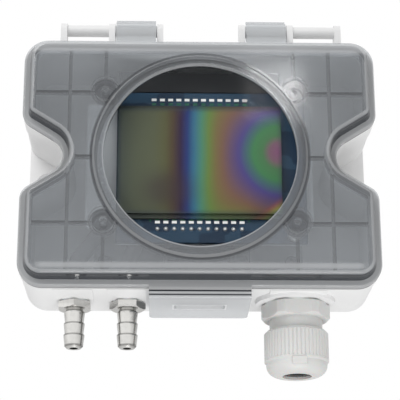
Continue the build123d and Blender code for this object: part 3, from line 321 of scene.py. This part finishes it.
@dataclass(frozen=True)
class LidLevels:
    """Places on the lid that its finish follows, in millimetres.

    Heights are measured from the wall, and all else from the lid's middle.

    Attributes:
        gap: Height of the rim's foot.
        rim: Height of the rim, from which the dome's wall rises.
        rib_low: Height of the ribs' lower edge.
        rib_high: Height of the ribs' upper edge.
        edge: Height at which the wall's rounded edge starts.
        front: Height above which the lid's front lies.
        top_z: Where the wall along the top starts.
        half_w: Half the lid's width.
        half_h: Half the lid's height.
        painted_highlight_z: Middle of the soft painted highlight along the foot of the front.
        foot_z: Where the body is lightest. From there it darkens up to the middle.
        ring_inner: Inner radius of the bezel.
        ring_outer: Outer radius of the bezel.
        boss: Distance of a boss along X and Z, and its radius.
        latch_front: Height at which the latch's front starts.
        slot: Height of the slot's middle, half its width and half its height.
        grip: Places along Z of the two fine lines of painted shade across the latch.
    """

    gap: float = 28.9
    rim: float = 31.0
    rib_low: float = 32.0
    rib_high: float = 33.45
    edge: float = 34.9
    front: float = 35.8
    top_z: float = 33.4
    half_w: float = 54.0
    half_h: float = 39.5
    painted_highlight_z: float = -34.6
    foot_z: float = -34.0
    ring_inner: float = 29.0
    ring_outer: float = 32.4
    boss: tuple[float, float, float] = (28.7, 20.9, 3.3)
    latch_front: float = 28.6
    slot: tuple[float, float, float] = (20.5, 7.65, 2.3)
    grip: tuple[float, float] = (-40.76, -42.02)


@dataclass(frozen=True)
class Spot:
    """Where a point of the lid lies, in millimetres, and how far it faces the front."""

    x: Sock
    height: Sock
    z: Sock
    radius: Sock
    slope: Sock


@dataclass(frozen=True)
class Mark:
    """A mask on the lid and how strongly it darkens, pales and thickens the body."""

    mask: Sock
    dark: float = 0.0
    pale: float = 0.0
    share: float = 0.0

    @staticmethod
    def total(marks: Sequence["Mark"], effect: str) -> Sock:
        """Return the sum of the marks' masks, each times its strength of an effect."""
        counted = ((mark.mask, getattr(mark, effect)) for mark in marks)
        return sum(mask * strength for mask, strength in counted if strength)


@dataclass(frozen=True)
class SmokedPlastic:
    """Smoked, glossy and half transparent plastic of the lid.

    Attributes:
        name: The material's name.
        colour: The body's colour in the upper half.
        dark: Its colour in the painted shade on the upright wall, at the rim's foot and in
            the grooves, and where ribs, bosses and the bezel make it denser.
        pale: Its colour in the painted light on the rim, the clips, the latch, the top and
            round the slot, and in the painted highlights on the rounded edge and the window's
            lip.
        tint: Tint of what shows through.
        share: Share of the body against the view through it.
        roughness: The body's roughness.
        lighter: How much lighter the body is towards the foot.
        levels: Places that the finish follows.
    """

    name: str
    colour: Colour
    dark: Colour
    pale: Colour
    tint: Colour
    share: float
    roughness: float = 0.08
    lighter: float = 1.45
    levels: LidLevels = LidLevels()

    def dome(self, spot: Spot) -> list[Mark]:
        """Mark the painted shade on the dome's wall and the painted highlight on its rounded
        edge.

        Args:
            spot: The point.

        Returns:
            The painted shade on the upright wall, which fades out along the top where light
            falls from above, and the painted highlight on the rounded edge with the soft
            painted highlight along the foot of the front.
        """
        at = self.levels
        standing = 1 - spot.slope.step(0.9, 0.99)
        low = spot.height.step(at.rim - 0.1, at.rim + 0.3)
        high = spot.height.step(at.edge, at.edge + 0.9)
        # Painted shade is left off the wall along the top, where light falls from above.
        under_top = 1 - spot.z.step(at.top_z - 0.6, at.top_z + 0.6)
        # Painted highlight: a soft band along the foot of the front.
        painted_highlight_band = spot.z.near(at.painted_highlight_z, 0.3, 1.5) * spot.height.step(at.front, at.front + 0.1)
        painted_highlight_band = painted_highlight_band * (1 - abs(spot.x).step(at.half_w - 8, at.half_w - 4))
        # Painted highlight on the rounded edge.
        edge = high * (1 - spot.slope.step(0.95, 0.999)) + painted_highlight_band
        # Painted shade on the upright wall.
        wall = low * (1 - high) * standing * under_top
        return [Mark(wall, dark=1.0, share=0.7), Mark(edge, pale=0.6, share=0.2)]

    def inside(self, spot: Spot) -> list[Mark]:
        """Mark the ribs and the bosses under the lid.

        Args:
            spot: The point.

        Returns:
            The ribs by height, and beside the bezel the disc and the arc of each boss by
            distance from its middle.
        """
        at = self.levels
        ribs = spot.height.step(at.rib_low - 0.1, at.rib_low + 0.1)
        ribs = ribs * (1 - spot.height.step(at.rib_high - 0.1, at.rib_high + 0.1))
        boss_x, boss_z, reach = at.boss
        across = abs(spot.x) - boss_x
        along = abs(spot.z) - boss_z
        away = (across * across + along * along).root()
        disc = away.step(0.8, 1.3) * (1 - away.step(reach - 0.1, reach + 0.1))
        arc = away.near(reach + 0.95, 0.1, 0.4)
        beside = spot.radius.step(at.ring_outer + 0.3, at.ring_outer + 0.5)
        above = spot.height.step(at.rib_low, at.rib_high) * beside
        return [Mark(ribs, dark=0.55, share=0.33), Mark(disc * above, dark=0.75, share=0.45),
                Mark(arc * above, dark=0.55, share=0.33)]

    def bezel(self, spot: Spot) -> list[Mark]:
        """Mark the bezel round the window.

        Args:
            spot: The point.

        Returns:
            The ring, denser and darker, the fine dark line of painted shade in the groove
            outside it and the fine pale lip of painted highlight inside it, all by radius.
        """
        at = self.levels
        ring = spot.radius.step(at.ring_inner - 0.1, at.ring_inner)
        ring = ring * (1 - spot.radius.step(at.ring_outer - 0.1, at.ring_outer + 0.1))
        # Painted shade in the groove outside the bezel.
        line = spot.radius.near(at.ring_outer + 0.3, 0.2, 0.6)
        # Painted highlight on the window's inner edge.
        lip = spot.radius.near(at.ring_inner + 0.15, 0.1, 0.35)
        return [Mark(ring, share=0.08), Mark(ring * (1 - lip), dark=0.35),
                Mark(line, dark=0.85, share=0.45), Mark(lip, pale=0.5)]

    def foot(self, spot: Spot) -> list[Mark]:
        """Mark painted light on what lies on the pale case and along the top, and painted
        shade in the fine lines there.

        Args:
            spot: The point.

        Returns:
            The rim, the clips, the top and the latch, painted pale as if lit; the dark line
            of painted shade at the rim's foot; the darker front of the latch with its two
            lines of painted shade in its grooves; and the pale line round its slot, painted
            light on what lies in the slot.
        """
        at = self.levels
        # Painted light: the rim, clips and latch made pale as if lit through on the pale
        # case, and the top as if lit from above.
        outside = abs(spot.z).step(at.half_h, at.half_h + 0.4)
        above = spot.height.step(at.rim - 0.1, at.rim + 0.3)
        top = spot.z.step(at.top_z - 0.6, at.top_z + 0.6) * 0.7
        pale = 1 - above * (1 - outside) * (1 - top)
        latch = 1 - spot.z.step(-at.half_h - 0.4, -at.half_h)
        front = spot.height.step(at.latch_front, at.latch_front + 1.6)
        # Painted shade in the two grooves across the latch.
        lines = sum(spot.z.near(level, 0.12, 0.4) for level in at.grip)
        grip = (lines + 0.25) * front * latch
        # Painted shade in the gap at the rim's foot.
        under = (1 - spot.height.step(at.gap - 0.2, at.gap + 0.2)) * (1 - latch)
        under = under * (1 - spot.z.step(at.half_h, at.half_h + 0.4))
        middle, half_wide, half_high = at.slot
        # Painted light: a pale line round the slot, where the lit tooth would show.
        past = (abs(spot.x) - half_wide).most(abs(spot.height - middle) - half_high)
        slot = past.near(0.15, 0.1, 0.4) * latch * (1 - front)
        return [Mark(pale, pale=1.0, share=0.22), Mark(latch, share=0.06),
                Mark(grip + under, dark=0.8, share=0.4), Mark(slot, pale=1.0, share=0.5)]

    def material(self) -> bpy.types.Material:
        """Return the material.

        A grey body lies over a tinted view through the lid. The body is lighter towards the
        foot, and the marks on it make it denser and turn it dark or pale, many of them as
        painted shade and painted light.
        """
        build = Shader(self.name)
        x, y, z = build.place()
        spot = Spot(x, y * -1.0, z, (x * x + z * z).root(), abs(build.slope(1)))
        broad = build.noise(0.03, 2.0)
        ripple = build.noise(0.12, 1.0)
        marks = [*self.dome(spot), *self.inside(spot), *self.bezel(spot), *self.foot(spot),
                 Mark(build.facing(0.3) ** 3.0, share=0.35)]
        light = broad.step(0.3, 0.7) * 0.3 + (1 - z.step(self.levels.foot_z, 0.0)) * 0.7
        colour = build.mix(light, self.colour, scaled(self.colour, self.lighter))
        # The marks' pale and dark parts paint light and shade on the lid, besides the denser
        # ribs, bosses and bezel.
        colour = build.mix(Mark.total(marks, "pale"), colour, self.pale)
        colour = build.mix(Mark.total(marks, "dark"), colour, self.dark)
        surface = build.principled(
            Base_Color=colour,
            Roughness=self.roughness + (ripple - 0.5) * 0.04,
            Normal=build.bump(ripple, 0.02, 0.3),
        )
        share = Mark.total(marks, "share") + self.share
        return build.finish(build.see_through(self.tint, share, surface))


@dataclass(frozen=True)
class ClearPlastic:
    """Clear, polished plastic of the window."""

    name: str
    tint: Colour
    body: Colour
    least_share: float

    def material(self) -> bpy.types.Material:
        """Return the material: a polished surface whose share grows at glancing angles."""
        build = Shader(self.name)
        ripple = build.noise(0.08, 1.0)
        surface = build.principled(
            Base_Color=self.body,
            Roughness=0.04 + ripple * 0.03,
            Normal=build.bump(ripple, 0.01, 0.2),
        )
        share = build.facing(0.25) ** 3.0 * 0.6 + self.least_share
        return build.finish(build.see_through(self.tint, share, surface))


@dataclass(frozen=True)
class PlatedMetal:
    """Turned and plated metal with fine tool marks around its axis.

    Attributes:
        name: The material's name.
        colour: The metal's colour.
        roughness: The metal's roughness.
        painted_shade_lines_mm: Places along Z of dark lines of painted shade under ridges.
        darker: Factor of the colour in the painted reflection on the sides, in stains and in
            the painted shade lines.
        ring_turn: Radians per millimetre along Z of the tool marks.
        painted_highlight_lean: How far towards -X the normal of the brightest side, the
            painted highlight, leans.
    """

    name: str
    colour: Colour
    roughness: float = 0.24
    painted_shade_lines_mm: tuple[float, ...] = ()
    darker: float = 0.38
    ring_turn: float = 26.0
    painted_highlight_lean: float = 0.12

    def material(self) -> bpy.types.Material:
        """Return the material.

        Rings along Z are tool marks. Faint stains are darker. The sides of turned pieces, by
        their normal along X, are darker as a painted reflection round a bright middle, and
        the given lines across them are painted shade under the ridges.
        """
        build = Shader(self.name)
        _, _, z = build.place()
        rings = ((z * self.ring_turn).sine() + build.noise(0.8, 2.0) * 2.0) * 0.25 + 0.5
        stain = build.noise(0.35, 3.0, 0.6)
        # Painted reflection: sides darker than the bright middle, by the normal along X.
        painted_reflection_side = abs(build.slope(0) + self.painted_highlight_lean).step(0.3, 1.0)
        dark = stain.step(0.45, 0.8) * 0.25 + painted_reflection_side * 0.75
        # Painted shade in the given lines under the ridges.
        for level in self.painted_shade_lines_mm:
            dark = dark + z.near(level, 0.1, 0.45) * 0.9
        surface = build.principled(
            Base_Color=build.mix(dark, self.colour, scaled(self.colour, self.darker)),
            Metallic=1.0,
            Roughness=self.roughness + stain * 0.08,
            Normal=build.bump(rings, 0.004, 0.5),
        )
        return build.finish(surface)


@dataclass(frozen=True)
class SoftRubber:
    """Moulded rubber or soft tube."""

    name: str
    colour: Colour
    roughness: float = 0.6

    def material(self) -> bpy.types.Material:
        """Return the material: dusty blotches over a matt body."""
        build = Shader(self.name)
        dust = build.noise(0.6, 4.0, 0.7)
        dusty = scaled(self.colour, 0.8, lift=0.03)
        surface = build.principled(
            Base_Color=build.mix(dust.step(0.4, 0.8), self.colour, dusty),
            Roughness=self.roughness + dust * 0.15,
            Normal=build.bump(dust, 0.02),
        )
        return build.finish(surface)


@dataclass(frozen=True)
class BoardLaminate:
    """Circuit board: solder resist over copper runs, a fine weave and rows of pads."""

    name: str
    resist: Colour
    copper: Colour
    pad_rows_mm: tuple[float, ...] = ()
    pads_half_w_mm: float = 15.0
    pad: Colour = (0.02, 0.16, 0.09)
    pitch_mm: float = 2.54
    run_pitches: float = 1.6
    weave_mm: float = 0.9
    weave: float = 0.6

    def pads(self, x: Sock, z: Sock) -> Number:
        """Find the pads.

        Args:
            x: Place along X in millimetres.
            z: Place along Z in millimetres.

        Returns:
            The share of the rows of pads, each a cosine in X cut to blocks. Every second
            row is shifted by half a pitch.
        """
        phase = (x * (tau / self.pitch_mm) + pi / 2).sine()
        found = 0.0
        for number, level in enumerate(self.pad_rows_mm):
            sign = 1.0 if number % 2 else -1.0
            found = found + ((phase * sign) > 0.0) * z.near(level, 0.35, 0.45)
        return found * (1 - abs(x).step(self.pads_half_w_mm, self.pads_half_w_mm + 0.2))

    def material(self) -> bpy.types.Material:
        """Return the material: a fine grid, copper runs in steps and rows of pads."""
        build = Shader(self.name)
        x, _, z = build.place()
        turn = tau / self.weave_mm
        weave = (x * turn).sine() * (z * turn).sine() * 0.5 + 0.5
        scale = MM_PER_METRE / self.pitch_mm / self.run_pitches
        values = {"Vector": build.object_place(), "Scale": scale, "Randomness": 0.65}
        cells = build.node("ShaderNodeTexVoronoi", {"distance": "CHEBYCHEV"}, values, "Color")
        runs = (build.node("ShaderNodeSeparateColor", {}, {0: cells}, 0) > 0.62) * 0.6
        resist = build.mix(weave * self.weave, self.resist, scaled(self.resist, 2.0))
        colour = build.mix(runs, resist, self.copper)
        if self.pad_rows_mm:
            colour = build.mix(self.pads(x, z), colour, self.pad)
        surface = build.principled(
            Base_Color=colour,
            Roughness=0.34 + weave * 0.1,
            Specular_IOR_Level=0.3,
            Normal=build.bump(weave * 0.3 + runs, 0.02, 0.6),
        )
        return build.finish(surface)


@dataclass(frozen=True)
class DisplayFilm:
    """Display glass whose film shows curved bands of interference colours.

    Attributes:
        name: The material's name.
        bands: Colours by distance from the bands' middle, as shares of their reach.
        warm: Colours of the lower right corner.
        centre_mm: x and z of the bands' middle.
        reach_mm: Distance of the last band.
        half_mm: Half the glass's width and height.
        mid_z_mm: z of the glass's middle.
        upright_mm: Distances along X between which the rings turn into upright bands.
        height_share: Share of the height in the distance, before and after that turn.
        sway_mm: How far the bands sway.
        smudge_mm: x and z of the dark smudge.
        smudge_half_mm: Its half width and half height.
        corner_mm: Where the warm corner starts, along 3/4 of x less z, and its width.
        rim_mm: Widths of the dark rim and of the dark strip at the left.
        smudge: The smudge's colour.
        rim: The rim's colour.
    """

    name: str
    bands: Stops
    warm: Stops
    centre_mm: tuple[float, float] = (24.1, 3.4)
    reach_mm: float = 48.0
    half_mm: tuple[float, float] = (24.8, 16.9)
    mid_z_mm: float = 0.4
    upright_mm: tuple[float, float] = (9.0, 24.0)
    height_share: tuple[float, float] = (0.82, 0.02)
    sway_mm: float = 3.0
    smudge_mm: tuple[float, float] = (-9.5, -9.0)
    smudge_half_mm: tuple[float, float] = (8.0, 6.5)
    corner_mm: tuple[float, float] = (28.5, 7.0)
    rim_mm: tuple[float, float] = (1.6, 6.0)
    smudge: Colour = (0.042, 0.026, 0.032)
    rim: Colour = (0.035, 0.05, 0.06)

    def rings(self, build: Shader, x: Sock, z: Sock) -> Sock:
        """Colour the bands.

        Args:
            build: The material's builder.
            x: Place along X in millimetres.
            z: Place along Z in millimetres.

        Returns:
            The bands' colour by distance from their middle. The height part of the
            distance counts fully near the middle and fades out across the glass, so rings
            turn into upright bands.
        """
        across = self.centre_mm[0] - x
        height = z - self.centre_mm[1]
        sway = (build.noise(0.035, 1.0) - 0.5) * self.sway_mm
        first, last = self.height_share
        round_share = across.step(*self.upright_mm) * (last - first) + first
        radius = (across * across + height * height * round_share).root() + sway
        return build.ramp(self.bands, radius / self.reach_mm)

    def material(self) -> bpy.types.Material:
        """Return the material: bands under a smudge, a warm corner and a dark rim."""
        build = Shader(self.name)
        x, _, z = build.place()
        colour = self.rings(build, x, z)
        smudge_x = (x - self.smudge_mm[0]) / self.smudge_half_mm[0]
        smudge_z = (z - self.smudge_mm[1]) / self.smudge_half_mm[1]
        smudge = 1 - (smudge_x * smudge_x + smudge_z * smudge_z).root().step(0.2, 1.5)
        colour = build.mix(smudge * 0.62, colour, self.smudge)
        start, width = self.corner_mm
        slant = x * 0.75 - z
        warm = build.ramp(self.warm, (slant - start) / width)
        colour = build.mix(slant.step(start, start + 4) * 0.85, colour, warm)
        half_w, half_h = self.half_mm
        rim, strip = self.rim_mm
        past = (abs(x) - half_w).most(abs(z - self.mid_z_mm) - half_h)
        left = 1 - x.step(-half_w, -half_w + strip)
        colour = build.mix(past.step(-rim, 0.0) * 0.5 + left * 0.3, colour, self.rim)
        scratch = build.noise(0.5, 4.0, 0.7)
        surface = build.principled(
            Base_Color=colour,
            Roughness=0.2 + scratch * 0.08,
            Specular_IOR_Level=0.2,
            Normal=build.bump(scratch, 0.004, 0.3),
        )
        return build.finish(surface)


FILM_BANDS = (
    (0.00, (0.217, 0.069, 0.160)),
    (0.06, (0.189, 0.098, 0.132)),
    (0.105, (0.063, 0.183, 0.069)),
    (0.165, (0.046, 0.200, 0.069)),
    (0.215, (0.051, 0.114, 0.149)),
    (0.255, (0.069, 0.051, 0.217)),
    (0.31, (0.121, 0.069, 0.132)),
    (0.365, (0.189, 0.098, 0.063)),
    (0.405, (0.183, 0.137, 0.046)),
    (0.45, (0.126, 0.211, 0.046)),
    (0.49, (0.069, 0.229, 0.137)),
    (0.535, (0.034, 0.149, 0.240)),
    (0.575, (0.014, 0.034, 0.160)),
    (0.615, (0.026, 0.011, 0.046)),
    (0.665, (0.077, 0.050, 0.026)),
    (0.715, (0.098, 0.098, 0.041)),
    (0.79, (0.099, 0.109, 0.062)),
    (1.00, (0.084, 0.097, 0.065)),
)
CORNER_BANDS = (
    (0.0, (0.14, 0.05, 0.09)),
    (0.3, (0.38, 0.10, 0.06)),
    (0.55, (0.32, 0.30, 0.05)),
    (0.8, (0.08, 0.28, 0.12)),
    (1.0, (0.05, 0.12, 0.25)),
)


class Finish(Enum):
    """The finishes of the object's pieces.

    Their names differ from those of the frame's plain materials, which stay unused.
    """

    CASE = MouldedPlastic("case_plastic", (0.82, 0.82, 0.82), roughness=0.42)
    SMOKED = SmokedPlastic(
        "smoked_plastic",
        colour=(0.315, 0.328, 0.344),
        # dark and pale are the colours of the lid's painted shade and painted light.
        dark=(0.03, 0.033, 0.039),
        pale=(0.68, 0.69, 0.70),
        tint=(0.92, 0.935, 0.95),
        share=0.27,
    )
    CLEAR = ClearPlastic("clear_plastic", (0.97, 0.975, 0.98), (0.03, 0.03, 0.03), 0.03)
    SEAL = SoftRubber("seal_finish", (0.02, 0.02, 0.02))
    BOARD = BoardLaminate("board_laminate", (0.007, 0.026, 0.056), (0.032, 0.088, 0.150),
                          pad_rows_mm=(19.65, -18.15))
    PALE_BOARD = BoardLaminate("pale_laminate", (0.40, 0.42, 0.42), (0.48, 0.50, 0.50),
                               weave=0.1)
    CARRIER = MouldedPlastic("carrier_finish", (0.56, 0.58, 0.59), roughness=0.5)
    FILM = DisplayFilm("display_film", FILM_BANDS, CORNER_BANDS)
    TIN = PlatedMetal("tinned_pins", (0.80, 0.80, 0.78), roughness=0.35)
    STEEL = PlatedMetal("zinc_finish", (0.62, 0.62, 0.60), roughness=0.3)
    DARK_STEEL = PlatedMetal("dark_steel", (0.10, 0.10, 0.11), roughness=0.4)
    # The nickel's lines are painted shade under the barbs' ridges.
    NICKEL = PlatedMetal("nickel_plating", (0.80, 0.79, 0.765), roughness=0.14,
                         painted_shade_lines_mm=(-43.0, -46.85, -50.35, -53.6))
    HOSE = SoftRubber("hose_rubber", (0.24, 0.24, 0.24), roughness=0.5)
    NYLON = MouldedPlastic("nylon_finish", (0.64, 0.64, 0.628), roughness=0.42,
                           subsurface=0.12)
    BLACK = MouldedPlastic("black_finish", (0.018, 0.018, 0.02), roughness=0.45)
    PLATE = MouldedPlastic("plate_plastic", (0.016, 0.017, 0.019), roughness=0.5)
    RED = MouldedPlastic("switch_red_finish", (0.36, 0.02, 0.02), roughness=0.35)
    WHITE = MouldedPlastic("switch_white_finish", (0.70, 0.70, 0.68), roughness=0.4)
    CAN = PlatedMetal("capacitor_finish", (0.6, 0.6, 0.62), roughness=0.35)
    FLOOR = Paper("floor_paper", (0.86, 0.86, 0.86), (0.88, 0.88, 0.88))

    @cache
    def material(self) -> bpy.types.Material:
        """Return the finish's material, built the first time."""
        return self.value.material()


@dataclass
class Assembly:
    """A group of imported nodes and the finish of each."""

    finishes: ClassVar[dict[str, Finish]] = {}

    def dress(self) -> None:
        """Give each of the group's nodes its finish in every material slot."""
        for node, finish in self.finishes.items():
            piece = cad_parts[node]
            if not piece.material_slots:
                piece.data.materials.append(finish.material())
            for slot in piece.material_slots:
                slot.material = finish.material()


@dataclass
class Case(Assembly):
    """Rear housing and the lid's seal."""

    finishes: ClassVar[dict[str, Finish]] = {
        "rear_housing": Finish.CASE,
        "lid_seal": Finish.SEAL,
    }


@dataclass
class Lid(Assembly):
    """Smoked lid with its round window."""

    finishes: ClassVar[dict[str, Finish]] = {
        "lid": Finish.SMOKED,
        "window_lens": Finish.CLEAR,
    }


@dataclass
class Display(Assembly):
    """Display board with its carrier, glass, pads and bare plate."""

    finishes: ClassVar[dict[str, Finish]] = {
        "display_board": Finish.BOARD,
        "display_carrier": Finish.CARRIER,
        "display_glass": Finish.FILM,
        "display_pins": Finish.TIN,
        "display_screws": Finish.STEEL,
        "name_plate": Finish.PLATE,
        "header_pins": Finish.BLACK,
        "header_socket": Finish.BLACK,
    }


@dataclass
class Electronics(Assembly):
    """Main board and what it carries."""

    finishes: ClassVar[dict[str, Finish]] = {
        "main_board": Finish.PALE_BOARD,
        "board_screws": Finish.DARK_STEEL,
        "board_chips": Finish.BLACK,
        "board_capacitors": Finish.CAN,
        "pressure_sensor": Finish.BLACK,
        "terminal_block": Finish.BLACK,
        "terminal_screws": Finish.DARK_STEEL,
        "switch_bank": Finish.RED,
        "switch_slider_1": Finish.WHITE,
        "switch_slider_2": Finish.WHITE,
        "switch_slider_3": Finish.WHITE,
        "switch_slider_4": Finish.WHITE,
        "zero_switch": Finish.BLACK,
        "zero_button": Finish.WHITE,
    }


@dataclass
class Ports(Assembly):
    """Hose barbs with their washers, nuts and tubes."""

    finishes: ClassVar[dict[str, Finish]] = {
        "high_port": Finish.NICKEL,
        "low_port": Finish.NICKEL,
        "port_nuts": Finish.STEEL,
        "port_washers": Finish.NYLON,
        "high_hose": Finish.HOSE,
        "low_hose": Finish.HOSE,
    }


@dataclass
class Gland(Assembly):
    """Cable gland."""

    finishes: ClassVar[dict[str, Finish]] = {
        "gland_body": Finish.NYLON,
        "gland_dome_nut": Finish.NYLON,
        "gland_locknut": Finish.NYLON,
        "gland_washer": Finish.NYLON,
        "gland_seal": Finish.SEAL,
    }


@dataclass(frozen=True)
class Lamp:
    """A square soft lamp that looks at the frame's origin, with its power in watts."""

    name: str
    at: tuple[float, float, float]
    size: float
    power: float

    def build(self) -> None:
        """Add the lamp to the scene."""
        data = bpy.data.lights.new(self.name, "AREA")
        data.size = self.size
        data.energy = self.power
        lamp = bpy.data.objects.new(self.name, data)
        lamp.location = self.at
        lamp.rotation_euler = (-Vector(self.at)).to_track_quat("-Z", "Y").to_euler()
        bpy.context.scene.collection.objects.link(lamp)


@dataclass
class Studio:
    """Floor, world, lamps and camera."""

    floor_z: float = -1.1
    floor_half: float = 40.0
    world_level: float = 0.66
    white: Colour = (1.0, 1.0, 1.0)
    lamps: tuple[Lamp, ...] = (
        Lamp("key_lamp", (-0.45, -0.7, 0.6), 0.6, 4.4),
        Lamp("low_lamp", (0.1, -0.5, -0.8), 0.5, 4.5),
        Lamp("glint_lamp", (0.098, -0.944, 0.414), 0.055, 0.22),
    )
    camera_at: tuple[float, float, float] = (-0.011187, -0.436541, -0.153227)
    camera_forward: tuple[float, float, float] = (0.02606, 0.94461, 0.32715)
    camera_roll: float = -0.174
    camera_lens: float = 129.21
    sensor_width: float = 36.0

    def floor(self) -> None:
        """Lay a pale square far below: the signs of its corners times half its width."""
        mesh = bpy.data.meshes.new("studio_floor")
        signs = np.array(((-1, -1, 0), (1, -1, 0), (1, 1, 0), (-1, 1, 0)), dtype=float)
        corners = signs * self.floor_half + (0.0, 0.0, self.floor_z)
        mesh.from_pydata(corners, [], [(0, 1, 2, 3)])
        mesh.materials.append(Finish.FLOOR.material())
        floor = bpy.data.objects.new("studio_floor", mesh)
        bpy.context.scene.collection.objects.link(floor)
        floor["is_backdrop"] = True

    def world(self) -> None:
        """Light softly from all round, and show white behind the object and in gloss."""
        world = bpy.data.worlds.new("studio_world")
        bpy.context.scene.world = world
        world.use_nodes = True
        build = Tree(world.node_tree)
        camera, glossy, through = (
            build.node("ShaderNodeLightPath", out=f"Is {ray} Ray")
            for ray in ("Camera", "Glossy", "Transmission"))
        soft, white = (
            build.node("ShaderNodeBackground", {}, {"Color": self.white, "Strength": level})
            for level in (self.world_level, 1.0))
        seen = camera.most(glossy).most(through)
        surface = build.node("ShaderNodeMixShader", {}, {0: seen, 1: soft, 2: white})
        build.node("ShaderNodeOutputWorld", {}, {"Surface": surface})

    def camera(self) -> None:
        """Set the camera at the photograph's viewing angle."""
        forward = Vector(self.camera_forward).normalized()
        right = forward.cross(Vector((0, 0, 1))).normalized()
        up = right.cross(forward)
        roll = radians(self.camera_roll)
        right_rolled = cos(roll) * right + sin(roll) * up
        up_rolled = cos(roll) * up - sin(roll) * right
        turn = Matrix((right_rolled, up_rolled, -forward)).transposed().to_4x4()
        data = bpy.data.cameras.new("photo_camera")
        data.lens = self.camera_lens
        data.sensor_width = self.sensor_width
        data.clip_start = 0.01
        camera = bpy.data.objects.new("photo_camera", data)
        camera.matrix_world = Matrix.Translation(self.camera_at) @ turn
        bpy.context.scene.collection.objects.link(camera)
        bpy.context.scene.camera = camera

    def build(self) -> None:
        """Build the floor, the world, the lamps and the camera."""
        bpy.context.scene.view_settings.view_transform = "Standard"
        self.floor()
        self.world()
        for lamp in self.lamps:
            lamp.build()
        self.camera()


def save_sizes() -> None:
    """Gather the CAD box and the dressed box as plain lists."""
    boxes = {"cad": CAD_BOX, "visual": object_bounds()}
    plain = {key: [[float(value) for value in corner] for corner in box]
             for key, box in boxes.items()}


def main() -> None:
    """Dress every sub-assembly, then set up the studio."""
    logging.basicConfig(level=logging.INFO, format="%(name)s: %(message)s")
    for assembly in (Case(), Lid(), Display(), Electronics(), Ports(), Gland()):
        assembly.dress()
        LOG.info("%s dressed: %s", type(assembly).__name__, ", ".join(assembly.finishes))
    Studio().build()
    LOG.info("studio built")
    save_sizes()


if __name__ == "__main__":
    main()
